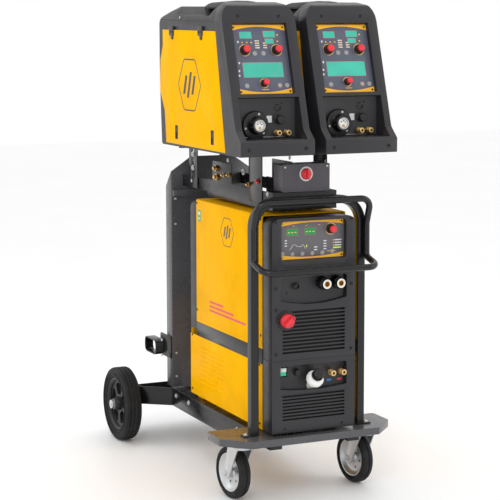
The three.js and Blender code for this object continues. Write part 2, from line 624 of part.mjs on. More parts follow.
// A front or rear moulding: a shallow box with rounded top corners, open towards the sheet-metal body.
function moulding([z0, z1], [y0, y1], openRear, corner) {
  const outline = (shrink) => {
    const half = cabinet.bezelHalfWidth - shrink;
    return [[-half, z0 + shrink], [half, z0 + shrink], [half, z1 - shrink, corner - shrink],
      [-half, z1 - shrink, corner - shrink]];
  };
  const hollow = openRear ? [y0 + cabinet.bezelWall, y1 + reach] : [y0 - reach, y1 - cabinet.bezelWall];
  return cut(prism("y", [y0, y1], outline(0)), prism("y", hollow, outline(cabinet.bezelWall)));
}

// A recess for fittings: its walls stand behind the moulding's face. Its lower edge may sag in an arc.
function recess({ halfWidth, depth, corner }, [z0, z1], sag = 0) {
  const outline = (grow) => {
    const low = sag
      ? [-0.75, -0.25, 0.25, 0.75].map((share) => [share * (halfWidth + grow),
        z0 - grow - sag * (1 - share * share)])
      : [];
    return [
      [-halfWidth - grow, z0 - grow, sag ? 0 : corner], ...low,
      [halfWidth + grow, z0 - grow, sag ? 0 : corner],
      [halfWidth + grow, z1 + grow, corner], [-halfWidth - grow, z1 + grow, corner],
    ];
  };
  return {
    tub: prism("y", [1, depth + cabinet.bezelWall], outline(sheet), 3),
    space: prism("y", [-reach, depth], outline(0), 3),
  };
}

const controlTop = bezelTop - controlRecess.belowTop;
const controlBottom = controlTop - controlRecess.height;
const socketTop = bezelTop - socketRecess.belowTop;
const socketBottom = socketTop - socketRecess.height;
const socketZ = socketTop - socket.drop;
const mainSwitchZ = unitJoint + mainSwitch.height;

function powerFront() {
  const body = moulding([unitJoint + gap, bezelTop], [0, coverFront - gap], true, bezelCorner);
  const control = recess(controlRecess, [controlBottom, controlTop]);
  const sockets = recess(socketRecess, [socketBottom, socketTop], socketRecess.sag);
  const vents = slots(powerGrille.slots, powerGrille.pitch, powerGrille.slotHeight, powerGrille.halfWidth,
    unitJoint + powerGrille.bottom, [-1, cabinet.bezelWall + 1]);
  const switchBase = bar(mainSwitch.baseRadius, mainSwitch.baseThick + cabinet.bezelWall,
    [mainSwitch.x, cabinet.bezelWall, mainSwitchZ], [0, -1, 0], 20);
  const made = join(cut(body, ...vents), control.tub, sockets.tub, switchBase);
  add("power_front_bezel", cut(made, control.space, sockets.space), "blackPlastic");

  const plateHalf = controlRecess.halfWidth - gap;
  const plateZ = [controlBottom + gap, controlTop - gap];
  const plateY = [controlRecess.depth - gap - controlPlate, controlRecess.depth - gap];
  add("power_control_panel", prism("y", plateY,
    rectangle([-plateHalf, plateHalf], plateZ, controlRecess.corner)), "panelGrey");
  add("encoder_knob", turned([
    [0, 0], [encoder.radius, 0], [encoder.radius - 1, encoder.step], [encoder.capRadius, encoder.step],
    [encoder.capRadius - 1, encoder.height], [0, encoder.height],
  ], { at: [encoder.x, plateY[0] - gap, controlTop - encoder.belowTop], along: [0, -1, 0] }), "redPlastic");

  const handleY = -mainSwitch.baseThick - mainSwitch.travelGap;
  const disc = bar(mainSwitch.radius, mainSwitch.depth / 2, [mainSwitch.x, handleY, mainSwitchZ],
    [0, -1, 0], 20);
  const grip = block([mainSwitch.x - mainSwitch.grip / 2, mainSwitch.x + mainSwitch.grip / 2],
    [handleY - mainSwitch.depth, handleY - 1],
    [mainSwitchZ - mainSwitch.radius, mainSwitchZ + mainSwitch.radius]);
  const round = bar(mainSwitch.radius, mainSwitch.depth + 2, [mainSwitch.x, handleY + 1, mainSwitchZ],
    [0, -1, 0], 20);
  add("main_switch_knob", join(disc, grip.intersect(round)), "redPlastic");

  ["negative", "positive"].forEach((pole, i) => {
    const x = socket.xs[i];
    const back = socketRecess.depth - gap;
    const outer = turned([
      [0, 0], [socket.radius, 0], [socket.radius, socket.length - socket.collarLength],
      [socket.collar, socket.length - socket.collarLength], [socket.collar, socket.length],
      [0, socket.length],
    ], { at: [x, back, socketZ], along: [0, -1, 0], sides: 20 });
    const bore = bar(socket.bore, socket.boreDepth + reach,
      [x, back - socket.length + socket.boreDepth, socketZ], [0, -1, 0], 16);
    add(`welding_socket_${pole}`, cut(outer, bore), "blackPlastic");
  });
}

function powerBody() {
  const bandZ = [unitJoint - bandBelow, unitJoint + bandAbove];
  const bodyY = [coverFront, coverRear];
  const floor = block(cabinetX, bodyY, [unitJoint, unitJoint + sheet]);
  const bandWalls = cut(block(cabinetX, bodyY, bandZ),
    block(innerX, [coverFront - 1, coverRear + 1], [bandZ[0] - 1, bandZ[1] + 1]));
  add("power_base", join(floor, bandWalls), "blackPaint");

  const outline = (shrink) => {
    const half = cabinet.halfWidth - shrink;
    const low = bandZ[1] + gap - (shrink ? reach : 0);
    return [[-half, low], [half, low], [half, coverTop - shrink, 6], [-half, coverTop - shrink, 6]];
  };
  const coverY = [bodyY[0] - reach, bodyY[1] + reach];
  add("power_cover", cut(prism("y", bodyY, outline(0), 3), prism("y", coverY, outline(sheet), 3)),
    "yellowPaint");
}

const fanZ = unitJoint + fan.z;

function powerRear() {
  const body = moulding([unitJoint + gap, bezelTop], [coverRear + gap, cabinetRear], false, bezelCorner);
  const middle = ((rearGrille.slots - 1) * rearGrille.pitch + rearGrille.slotHeight) / 2;
  const vents = slots(rearGrille.slots, rearGrille.pitch, rearGrille.slotHeight, rearGrille.halfWidth,
    fanZ - middle,
    [cabinetRear - cabinet.bezelWall - 1, cabinetRear + 1]);
  const glandAt = [gland.x, cabinetRear - cabinet.bezelWall, unitJoint + gland.height];
  const inlet = bar(gland.radius, gland.length + cabinet.bezelWall, glandAt, [0, 1, 0], 12);
  const throat = bar(gland.bore, gland.length + reach,
    [gland.x, cabinetRear - cabinet.bezelWall - 1, glandAt[2]], [0, 1, 0], 12);
  add("power_rear_bezel", cut(join(cut(body, ...vents), inlet), throat), "blackPlastic");
}

function powerInside() {
  const floor = unitJoint + sheet + gap;
  const ys = [powerModule.front, powerModule.front + powerModule.length];
  const half = powerModule.halfWidth;
  const plate = block([-half, half], ys, [floor, floor + powerModule.plate]);
  const pitch = (half - powerModule.finThick) / (powerModule.fins - 1);
  const fins = Array.from({ length: powerModule.fins }, (_, i) => {
    const x = -half + i * pitch;
    return block([x, x + powerModule.finThick], ys, [floor + 1, floor + powerModule.finHeight]);
  });
  const middle = (ys[0] + ys[1]) / 2;
  const choke = bar(powerModule.chokeRadius, powerModule.chokeHeight, [half / 2, middle, floor + 1],
    [0, 0, 1], 24);
  add("power_module", join(plate, ...fins, choke), "aluminium");

  const centre = [0, cabinetRear - cabinet.bezelWall - fan.inset - fan.depth, fanZ];
  const hub = bar(fan.hubRadius, fan.depth, centre, [0, 1, 0], 16);
  const blades = Array.from({ length: fan.blades }, (_, i) => {
    const blade = new THREE.BoxGeometry(fan.radius - fan.hubRadius + 6, fan.bladeThick, fan.depth * 1.3);
    const place = new THREE.Matrix4().makeTranslation(centre[0], centre[1] + fan.depth / 2, centre[2])
      .multiply(new THREE.Matrix4().makeRotationY((2 * Math.PI * i) / fan.blades))
      .multiply(new THREE.Matrix4().makeTranslation((fan.radius + fan.hubRadius - 6) / 2, 0, 0))
      .multiply(new THREE.Matrix4().makeRotationX(THREE.MathUtils.degToRad(fan.pitch)));
    return solid(blade, place);
  });
  add("cooling_fan", join(hub, ...blades), "blackPlastic");
}

const coolerTop = unitJoint - gap;
const coolerRecessTop = coolerTop - coolerRecess.belowTop;
const capDirection = [0, -Math.cos(THREE.MathUtils.degToRad(filler.rise)),
  Math.sin(THREE.MathUtils.degToRad(filler.rise))];
const capBase = [0, filler.capY, coolerTop - filler.capBelowTop];
const along = (from, direction, distance) => from.map((value, i) => value + direction[i] * distance);

function coolerFront() {
  const body = moulding([coolerBottom, coolerTop], [0, coverFront - gap], true, cabinet.bezelWall);
  const zs = [coolerRecessTop - coolerRecess.height, coolerRecessTop];
  const fittings = recess(coolerRecess, zs, coolerRecess.sag);
  const vents = slots(coolerGrille.slots, coolerGrille.pitch, coolerGrille.slotHeight,
    coolerGrille.halfWidth,
    coolerBottom + coolerGrille.bottom, [-1, cabinet.bezelWall + 1]);
  const neckHole = bar(filler.neckRadius + runGap, filler.start + 2 * reach,
    along(capBase, capDirection, -filler.start - reach),
    capDirection, 20);
  const rockerZ = coolerTop - rocker.belowTop;
  const rockerHole = block([rocker.x - rocker.halfWidth - rocker.play,
    rocker.x + rocker.halfWidth + rocker.play],
    [0, coverFront], [rockerZ - rocker.halfHeight - rocker.play,
      rockerZ + rocker.halfHeight + rocker.play]);
  add("cooler_front_bezel", cut(join(cut(body, ...vents), fittings.tub), fittings.space, neckHole,
    rockerHole), "blackPlastic");

  const pivotY = coolerRecess.depth + rocker.depth / 2;
  const key = prism("x", [-rocker.halfWidth, rocker.halfWidth], [
    [-rocker.depth, -rocker.halfHeight], [-rocker.depth, rocker.halfHeight],
    [rocker.depth / 2, rocker.halfHeight],
    [rocker.depth, 0], [rocker.depth / 2, -rocker.halfHeight],
  ]);
  const place = new THREE.Matrix4().makeTranslation(rocker.x, pivotY, rockerZ)
    .multiply(new THREE.Matrix4().makeRotationX(THREE.MathUtils.degToRad(-rocker.tilt)));
  add("cooler_rocker_switch", solid(geometryOf(key), place), "greenPlastic");

  const thread = filler.capLength - filler.step;
  add("filler_cap", turned([
    [0, filler.step], [filler.neckRadius + gap, filler.step], [filler.neckRadius + gap, 0],
    [filler.capRadius, 0],
    [filler.capRadius, thread], [filler.capRadius - 3, filler.capLength], [0, filler.capLength],
  ], { at: capBase, along: capDirection, sides: 20 }), "blackPlastic");
}

function coolerBody() {
  const ys = [coverFront, cabinetRear];
  const top = unitJoint - bandBelow - gap;
  const shellBox = block(cabinetX, ys, [coolerBottom, top]);
  const space = block(innerX, [coverFront - reach, cabinetRear - sheet],
    [coolerBottom + sheet, top + reach]);
  const pads = Object.values(sides).flatMap((side) => {
    const xs = [side * (cabinet.halfWidth - footPad.inset),
      side * (cabinet.halfWidth - footPad.inset - footPad.width)].sort((a, b) => a - b);
    const frontY = [coverFront + footPad.setback, coverFront + footPad.setback + footPad.length];
    const rearY = [cabinetRear - footPad.setback - footPad.length, cabinetRear - footPad.setback];
    return [
      block(xs, frontY, [platform.top + gap, coolerBottom + 1]),
      block(xs, rearY, [railTop + gap, coolerBottom + 1]),
    ];
  });
  const rearClosure = block(innerX.map((x) => x * 0.999), [cabinetRear - sheet, cabinetRear],
    [top - 1, unitJoint - gap]);
  add("cooler_case", join(cut(shellBox, space), ...pads, rearClosure), "yellowPaint");

  const tankFloor = coolerBottom + sheet + tank.bottomGap;
  const tankBody = block([-tank.halfWidth, tank.halfWidth], [tank.front, tank.front + tank.length],
    [tankFloor, tankFloor + tank.height]);
  const neck = bar(filler.neckRadius, filler.start + filler.step - gap,
    along(capBase, capDirection, -filler.start), capDirection, 20);
  const throat = bar(filler.bore, filler.start + reach, along(capBase, capDirection, -filler.start / 2),
    capDirection, 16);
  const supportYs = [
    tank.front + tank.supportInset, tank.front + tank.length - tank.supportInset - tank.supportLength,
  ];
  const supports = supportYs.map((y) => block([-tank.halfWidth, tank.halfWidth],
    [y, y + tank.supportLength],
    [coolerBottom + sheet + gap, tankFloor + 1]));
  add("coolant_tank", cut(join(tankBody, neck, ...supports), throat), "whitePlastic");

  const pumpZ = coolerBottom + sheet + gap + pump.footHeight + pump.radius;
  const motor = turned([
    [0, 0], [pump.headRadius, 0], [pump.headRadius, pump.headLength],
    [pump.radius, pump.headLength + pump.shoulder],
    [pump.radius, pump.length], [0, pump.length],
  ], { at: [pump.x, pump.rear - pump.length, pumpZ], along: [0, 1, 0], sides: 20 });
  const foot = block([pump.x - pump.radius, pump.x + pump.radius],
    [pump.rear - pump.length / 2, pump.rear - 10],
    [coolerBottom + sheet + gap, pumpZ - pump.radius * 0.6]);
  add("coolant_pump", join(motor, foot), "aluminium");
}

// ---- Rack pieces --------------------------------------------------------------------------------------
const baseBottom = coverTop + rack.clearance;
const baseTop = baseBottom + rack.baseHeight;
const baseFront = hoop.front + hoop.tubeDepth + gap;
const baseRear = baseFront + rack.baseLength;
const shelfTop = baseTop + rack.shelfGap;

function carrierBase() {
  const xs = [-rack.halfWidth, rack.halfWidth];
  const inner = [xs[0] + sheet, xs[1] - sheet];
  const channel = cut(
    block(xs, [baseFront, baseRear], [baseBottom, baseTop]),
    block(inner, [baseFront + sheet, baseRear + reach], [baseBottom + sheet, baseTop + reach]),
  );
  const sidePieces = Object.values(sides).flatMap((side) => {
    const plateX = [side * rack.halfWidth, side * (rack.halfWidth - sheet)].sort((a, b) => a - b);
    const foot = block(plateX, [baseRear - rack.footLap, column.front - gap],
      [baseBottom + rack.footLow, baseBottom + rack.footLow + rack.footHeight]);
    const plate = block(plateX, [hosePlate.front, hosePlate.front + hosePlate.length],
      [baseTop - hosePlate.overlap, baseTop + hosePlate.height]);
    return [foot, plate];
  });
  add("carrier_base", join(channel, ...sidePieces), "blackPaint");
}

function feederRack() {
  const shelfBottom = shelfTop - rack.shelfThick;
  const outer = rack.halfWidth + gap + sheet;
  const uprightRear = rack.uprightFront + rack.uprightLength;
  const shelf = prism("z", [shelfBottom, shelfTop], mirrored([
    [outer, uprightRear], [outer, rack.shelfWide + rack.shelfTaper], [rack.shelfHalfWidth, rack.shelfWide],
    [rack.shelfHalfWidth, rack.shelfFront],
  ].reverse()));
  const legs = Object.values(sides).flatMap((side) => {
    const xs = [side * (rack.halfWidth + gap), side * outer].sort((a, b) => a - b);
    const zs = [baseBottom + rack.footLow + 2, shelfBottom + 1];
    const rear = block(xs, [rack.uprightFront, uprightRear], zs);
    const front = block(xs, [rack.stayFront, rack.stayFront + rack.stayLength], zs);
    const centre = rack.uprightFront + rack.uprightLength / 2;
    const slot = (z) => prism("x", [xs[0] - 1, xs[1] + 1],
      rectangle([centre - rack.slotHalf, centre + rack.slotHalf], [z, z + rack.slotLength],
        rack.slotHalf - 0.01), 3);
    return [cut(rear, slot(baseTop + rack.slotInset), slot(shelfBottom - rack.slotLength - rack.slotInset)),
      front];
  });
  add("feeder_rack", join(shelf, ...legs), "blackPaint");
}

function selectorBox() {
  const bottom = baseTop + gap;
  const top = bottom + switchBox.height;
  const ys = [switchBox.front, switchBox.front + switchBox.depth];
  const outline = rectangle([-switchBox.halfWidth, switchBox.halfWidth], [bottom, top], switchBox.corner);
  add("switch_box", cut(prism("y", ys, outline, 3),
    prism("y", [ys[0] + sheet, ys[1] + reach], inset(outline, sheet), 3)), "boxGrey");
  const z = top - selector.belowTop;
  const y = switchBox.front - selector.travelGap;
  const base = bar(selector.base, selector.height / 3, [0, y, z], [0, -1, 0]);
  const stem = bar(selector.radius, selector.height * 0.6, [0, y, z], [0, -1, 0]);
  const grip = block([-selector.grip / 2, selector.grip / 2], [y - selector.height, y - 1],
    [z - selector.base, z + selector.base]);
  add("selector_knob", join(base, stem, grip), "redPlastic");
}

// ---- Wire feeder pieces ---------------------------------------------------------------------------------
const feederBottom = shelfTop + feeder.rest;
const feederTop = feederBottom + feederHeight;
const rise = (height) => feederBottom + height;
const jointY = (z) => joint.bottom + (z - feederBottom) * joint.slope;
const lean = new THREE.Vector2(face.run, face.rise).normalize();

// A point on the leaning front: distance up along it, and depth behind it, as [y, z].
const onFace = (up, depth) => [
  face.y + lean.x * up + lean.y * depth,
  rise(face.foot) + lean.y * up - lean.x * depth,
];

// The rounded roof and straight sides that the housing and the bezel share, seen from the front.
function frontOutline(half) {
  return [[-half, feederBottom - 1], [half, feederBottom - 1], [half, feederTop + 1, feeder.roofBend],
    [-half, feederTop + 1, feeder.roofBend]];
}

const bezelTopEdge = feederTop - sideShape.bezelStep;
const sideOutline = [
  [jointY(feederBottom) + gap, feederBottom], [sideShape.footRear, feederBottom, sideShape.footCorner],
  [sideShape.bulge, rise(sideShape.bulgeHeight), sideShape.sideBend],
  [sideShape.waist, rise(sideShape.waistHeight), sideShape.sideBend],
  [sideShape.waist, rise(sideShape.capHeight), sideShape.capCorner],
  [sideShape.roofRear, bezelTopEdge, sideShape.roofBend],
  [sideShape.roofFront, feederTop, sideShape.roofBend],
  [jointY(bezelTopEdge) + gap, bezelTopEdge],
];
const doorOutline = [
  [jointY(rise(doorShape.bottom)) + doorShape.margin, rise(doorShape.bottom)],
  [doorShape.lowRear, rise(doorShape.bottomRear)], [doorShape.lowEdge, rise(doorShape.lowHeight)],
  [doorShape.bulge, rise(doorShape.bulgeHeight)], [doorShape.waist, rise(doorShape.waistHeight)],
  [doorShape.neck, rise(doorShape.neckHeight)], [doorShape.neck, rise(doorShape.topRear)],
  [jointY(rise(doorShape.top)) + doorShape.margin, rise(doorShape.top)],
];

function feederHousing(x0) {
  const half = feeder.halfWidth - feeder.sideInset;
  const body = prism("x", [-half, half], sideOutline).intersect(prism("y", [0, 2 * cabinetRear],
    frontOutline(half), 6));
  const spoolBay = prism("x", [-half - reach, bay.divider], inset(doorOutline, bay.inset));
  const circuitBay = prism("x", [bay.divider + bay.dividerThick, half - electronics.side], [
    [0, rise(electronics.inset)], [sideShape.footRear - electronics.wall, rise(electronics.inset)],
    [sideShape.waist - electronics.wall - 1, rise(sideShape.bulgeHeight)],
    [sideShape.waist - electronics.wall - 1, rise(electronics.high)], [0, rise(electronics.high)],
  ]);
  const roofSide = half - roofHollow.side;
  const underRoof = block([-roofSide, roofSide], [0, roofHollow.rear],
    [rise(roofHollow.low), rise(roofHollow.high)]);
  const scoop = [
    [handle.scoopFront, feederTop + reach], [handle.scoopFront, feederTop + 2],
    [handle.gripFront, rise(handle.scoopLow), handle.scoopBend],
    [handle.gripRear, rise(handle.scoopLow), handle.scoopBend], [handle.scoopRear, feederTop + 2],
    [handle.scoopRear, feederTop + reach],
  ];
  const scoops = [prism("x", [handle.half, half + 1], scoop), prism("x", [-half - 1, -handle.half], scoop)];
  const gripHole = prism("x", [-half, half],
    rectangle([handle.gripFront, handle.gripRear], [rise(handle.gripLow), rise(handle.gripHigh)],
      handle.gripBend), 3);
  const motorHole = bar(drive.motorRadius + runGap, 30, [bay.divider - 10, drive.y, rise(drive.z)],
    [1, 0, 0], 20);
  const mandrelLength = spool.width + spool.near + 1;
  const mandrel = bar(spool.mandrel, mandrelLength, [bay.divider + 1, spoolY, rise(spoolZ)], [-1, 0, 0],
    20);
  const feet = feeder.footYs.flatMap((y) => Object.values(sides).map((side) =>
    bar(feeder.footRadius, feeder.rest - gap + 1, [side * feeder.footX, y, shelfTop + gap], [0, 0, 1],
      12)));
  const made = cut(body, spoolBay, circuitBay, underRoof, ...scoops, gripHole, motorHole);
  return join(made, mandrel, ...feet).translate([x0, 0, 0]);
}

function feederBezel(x0) {
  const topZ = feederTop - bumper.browDrop;
  const topY = face.y + (topZ - rise(face.foot)) * (face.run / face.rise);
  const outline = [
    [bumper.front, feederBottom, sheet], [jointY(feederBottom), feederBottom],
    [jointY(bezelTopEdge - 1), bezelTopEdge - 1], [topY, topZ, bumper.browBend],
    [face.y - (face.foot - bumper.knee) * (face.run / face.rise), rise(bumper.knee), bumper.kneeBend],
    [bumper.front, rise(bumper.top), bumper.corner],
  ];
  const half = feeder.halfWidth;
  const body = prism("x", [-half, half], outline).intersect(prism("y", [-reach - 20, 2 * cabinetRear],
    frontOutline(half), 6));
  const display = prism("x", [-displayRecess.halfWidth, displayRecess.halfWidth], [
    onFace(displayRecess.from, -reach), onFace(displayRecess.from, displayRecess.depth),
    onFace(displayRecess.to, displayRecess.depth), onFace(displayRecess.to, -reach),
  ]);
  const lower = prism("x", [-lowerRecess.halfWidth, lowerRecess.halfWidth], [
    [-2 * reach, rise(lowerRecess.bottom)], [lowerRecess.back, rise(lowerRecess.bottom), 8],
    [lowerRecess.back, rise(lowerRecess.top), 8], [-2 * reach, rise(lowerRecess.top)],
  ], 3);
  const hollow = prism("x", [-bezelHollow.halfWidth, bezelHollow.halfWidth], [
    [bezelHollow.frontY, rise(bezelHollow.low)],
    [jointY(rise(bezelHollow.low)) + reach, rise(bezelHollow.low)],
    [jointY(rise(bezelHollow.high)) + reach, rise(bezelHollow.high)],
    onFace(bezelHollow.to, bezelHollow.behind),
    onFace(displayRecess.from, bezelHollow.behind), [bezelHollow.frontY, rise(lowerRecess.top)],
  ]);
  return cut(body, display, lower, hollow).translate([x0, 0, 0]);
}

function feederDoor(x0) {
  const half = feeder.halfWidth - feeder.sideInset;
  const xs = [-half - gap - door.thick, -half - gap];
  const panel = prism("x", xs, doorOutline);
  const latches = door.slotYs.map((y) => block([xs[0] - 1, xs[1] + 1],
    [y - door.slotWidth / 2, y + door.slotWidth / 2],
    [rise(door.slotZ) - door.slotHeight / 2, rise(door.slotZ) + door.slotHeight / 2]));
  const knuckles = door.hingeYs.flatMap((y) => {
    const z = hingeZ();
    const pin = bar(door.hingeRadius, door.hingeLength, [hingeX(), y - door.hingeLength / 2, z], [0, 1, 0],
      12);
    const leaf = block([xs[0], xs[1]], [y - door.hingeLength / 2, y + door.hingeLength / 2],
      [z - door.leafLength, z]);
    return [pin, leaf];
  });
  return join(cut(panel, ...latches), ...knuckles).translate([x0, 0, 0]);
}

const hingeX = () => -feeder.halfWidth + feeder.sideInset - gap - door.hingeRadius;
const hingeZ = () => rise(doorShape.topRear) + door.hingeRadius + door.hingeDrop;

function feederInside(word, x0) {
  const spoolFar = bay.divider - spool.near - spool.width;
  const flange = spool.flange;
  add(`feeder_${word}_wire_spool`, turned([
    [spool.bore, 0], [spool.radius, 0], [spool.radius, flange], [spool.hubRadius, flange],
    [spool.hubRadius, spool.width - flange], [spool.radius, spool.width - flange],
    [spool.radius, spool.width], [spool.bore, spool.width],
  ], { at: [x0 + spoolFar, spoolY, rise(spoolZ)], along: [1, 0, 0], sides: wheelSides, closed: true }),
    "spoolPlastic");

  const plateX = [bay.divider - gap - drive.plateThick, bay.divider - gap];
  const z = rise(drive.z);
  const plate = block(plateX, [drive.y - drive.halfLength, drive.y + drive.halfLength],
    [z - drive.halfHeight / 2, z + drive.halfHeight]);
  const motor = bar(drive.motorRadius, drive.motorLength + 1, [plateX[1] - 1, drive.y, z], [1, 0, 0], 20);
  const rolls = [-1, 1].flatMap((a) => [-1, 1].map((b) =>
    bar(drive.rollRadius, drive.rollWidth + 1,
      [plateX[0] + 1, drive.y + a * drive.rollX, z + b * drive.rollZ], [-1, 0, 0], 16)));
  const guideX = plateX[0] - drive.rollWidth / 2;
  const guides = [-1, 1].map((way) => block([guideX - drive.guide, plateX[0] + 1],
    [drive.y + way * drive.halfLength - drive.guide, drive.y + way * drive.halfLength + drive.guide],
    [z - drive.guide, z + drive.guide]));
  add(`feeder_${word}_drive_unit`, join(plate, motor, ...rolls, ...guides).translate([x0, 0, 0]),
    "aluminium");
}

function feederControls(word, x0) {
  const { from, to, halfWidth, depth, plate, edge } = displayRecess;
  const panel = prism("x", [x0 - halfWidth + edge, x0 + halfWidth - edge], [
    onFace(from + edge, depth - gap), onFace(from + edge, depth - gap - plate),
    onFace(to - edge, depth - gap - plate),
    onFace(to - edge, depth - gap),
  ]);
  add(`feeder_${word}_control_panel`, panel, "panelGrey");
  for (const knob of feederKnobs) {
    const [y, z] = onFace(knob.s, depth - 2 * gap - plate);
    add(`feeder_${word}_${knob.name}`, turned([
      [0, 0], [knob.radius, 0], [knob.radius - 1, feederKnob.step], [knob.cap, feederKnob.step],
      [knob.cap - 1, feederKnob.height], [0, feederKnob.height],
    ], { at: [x0 + knob.x, y, z], along: [0, -lean.y, lean.x] }), "redPlastic");
  }
}

function wireFeeder(word, side) {
  const x0 = side * feeder.offset;
  add(`feeder_${word}_housing`, feederHousing(x0), "blackPlastic");
  add(`feeder_${word}_front_bezel`, feederBezel(x0), "blackPlastic");
  add(`feeder_${word}_door`, feederDoor(x0), "yellowPaint");
  feederInside(word, x0);
  feederControls(word, x0);
}

// ---- The whole machine ----------------------------------------------------------------------------------
frontPlatform();
for (const [word, side] of Object.entries(sides)) add(`rail_${word}`, sideRail(side), "blackPaint");
rearColumn();
bottleTray();
rearAxleAndWheels();
frontHoop();
handleLoop();
hoseHook();
for (const [word, side] of Object.entries(sides)) casterSet(word, side);
powerFront();
powerBody();
powerRear();
powerInside();
coolerFront();
coolerBody();
carrierBase();
feederRack();
selectorBox();
for (const [word, side] of Object.entries(sides)) wireFeeder(word, side);

// The origin lies on the floor, midway between the foremost bar and the back of the rear wheels.
const foremost = loop.lowY - loop.radius;
const rearmost = rearAxle.y + rearWheel.radius;
machine.position.y = -(foremost + rearmost) / 2;

export default machine;
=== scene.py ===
"""The looks of a twin-feeder MIG welder on its cart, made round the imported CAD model."""
import json
import math

import bmesh
import bpy
from mathutils import Matrix, Vector

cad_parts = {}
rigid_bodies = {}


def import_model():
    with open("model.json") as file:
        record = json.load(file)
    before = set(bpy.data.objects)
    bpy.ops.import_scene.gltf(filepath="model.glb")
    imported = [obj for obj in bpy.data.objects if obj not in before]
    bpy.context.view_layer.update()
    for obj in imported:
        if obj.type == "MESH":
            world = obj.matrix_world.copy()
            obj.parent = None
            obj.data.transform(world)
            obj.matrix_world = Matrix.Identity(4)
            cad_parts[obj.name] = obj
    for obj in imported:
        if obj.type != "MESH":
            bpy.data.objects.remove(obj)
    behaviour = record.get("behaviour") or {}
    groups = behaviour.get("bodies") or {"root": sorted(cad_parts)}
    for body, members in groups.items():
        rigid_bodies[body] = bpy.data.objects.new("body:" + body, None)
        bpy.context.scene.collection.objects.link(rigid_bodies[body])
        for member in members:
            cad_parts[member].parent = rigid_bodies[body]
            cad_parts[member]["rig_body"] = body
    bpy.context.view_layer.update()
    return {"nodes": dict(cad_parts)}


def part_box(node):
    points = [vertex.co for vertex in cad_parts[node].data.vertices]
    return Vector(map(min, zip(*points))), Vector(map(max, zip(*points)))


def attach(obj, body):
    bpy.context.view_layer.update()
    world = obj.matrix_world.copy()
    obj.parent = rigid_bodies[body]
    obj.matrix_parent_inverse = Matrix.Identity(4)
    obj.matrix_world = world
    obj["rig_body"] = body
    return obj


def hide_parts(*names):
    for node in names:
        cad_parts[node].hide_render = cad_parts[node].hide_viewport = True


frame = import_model()

bl_info = {
    "name": "Welding cart looks",
    "version": (1, 0, 0),
    "blender": (4, 5, 0),
    "location": "View3D > Sidebar > Welding cart",
    "description": "Finishes and fine pieces of a twin-feeder MIG welder on a cart",
    "category": "Object",
}

MM = 0.001
SIDES = {"left": -1, "right": 1}
RIGHT, REAR, UP = Vector((1, 0, 0)), Vector((0, 1, 0)), Vector((0, 0, 1))
RECESS = 22                           # millimetres from the fronts' face back to the floor of their recesses
GRILLE = 12                           # and back to the dark sheets of painted shade behind their grilles
CASTER_TURN = 7                       # degrees that both casters are turned
PANEL_LEAN = math.atan2(90, 294)      # from the run and the rise of the feeders' control panels


# ---- Places, in millimetres, worked out from the frame ------------------------------------------------

class Box:
    """A CAD node's box at rest, in millimetres."""

    def __init__(self, node):
        low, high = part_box(node)
        self.low, self.high = low / MM, high / MM
        self.mid = (self.low + self.high) / 2
        self.size = self.high - self.low


def board(origin, right, up):
    """A place to draw on: local x runs right, y up and z out of the surface."""
    out = right.cross(up)
    return Matrix((
        (right.x, up.x, out.x, origin[0]),
        (right.y, up.y, out.y, origin[1]),
        (right.z, up.z, out.z, origin[2]),
        (0, 0, 0, 1),
    ))


def facing_front(x, y, z):
    return board((x, y, z), RIGHT, UP)


def facing_rear(x, y, z):
    return board((x, y, z), -RIGHT, UP)


def facing_side(side, x, y, z):
    return board((x, y, z), REAR * side, UP)


def facing_up(x, y, z):
    return board((x, y, z), RIGHT, REAR)


def along(start, direction):
    """A board at a point whose z runs along a direction."""
    turn = Vector(direction).to_track_quat("Z", "Y").to_matrix().to_4x4()
    return Matrix.Translation(Vector(start)) @ turn


# ---- Sizes and colours that a user would change -------------------------------------------------------

def length(name, default, description):
    return bpy.props.FloatProperty(name=name, description=description, default=default * MM, min=0,
                                   subtype="DISTANCE", unit="LENGTH")


def colour(name, default, description):
    return bpy.props.FloatVectorProperty(name=name, description=description, default=default, size=3,
                                         min=0, max=1, subtype="COLOR")


class CartSizes(bpy.types.PropertyGroup):
    sheet_edge: length("Sheet edge", 0.8, "Rounding of the edges of folded steel")
    moulded_edge: length("Moulded edge", 1.8, "Rounding of the edges of plastic mouldings")
    bolt: length("Bolt", 8, "Thread diameter of the frame's bolts")
    screw: length("Screw", 5, "Thread diameter of the case screws")
    film: length("Film", 0.35, "Thickness of printed films and labels")


class CartColours(bpy.types.PropertyGroup):
    frame_black: colour("Frame black", (0.007, 0.007, 0.008), "Powder coat of the trolley")
    panel_yellow: colour("Panel yellow", (0.93, 0.455, 0.0), "Powder coat of the doors and covers")
    moulding: colour("Moulding", (0.017, 0.016, 0.019), "Plastic of the fronts and cases")
    keypad: colour("Keypad", (0.085, 0.092, 0.130), "Film on the feeders' panels")
    keypad_dark: colour("Dark keypad", (0.115, 0.108, 0.118), "Film on the power source's panel")
    knob_red: colour("Knob red", (0.76, 0.030, 0.045), "Caps and handles")
    lcd: colour("Screen", (0.030, 0.420, 0.310), "Lit screens of the feeders")
    digit_window: colour("Digit window", (0.004, 0.230, 0.050), "Digit windows of the power source")


def mm(name):
    """One of the cart's sizes, in millimetres."""
    return getattr(bpy.context.scene.cart_sizes, name) / MM


# ---- Materials ---------------------------------------------------------------------------------------

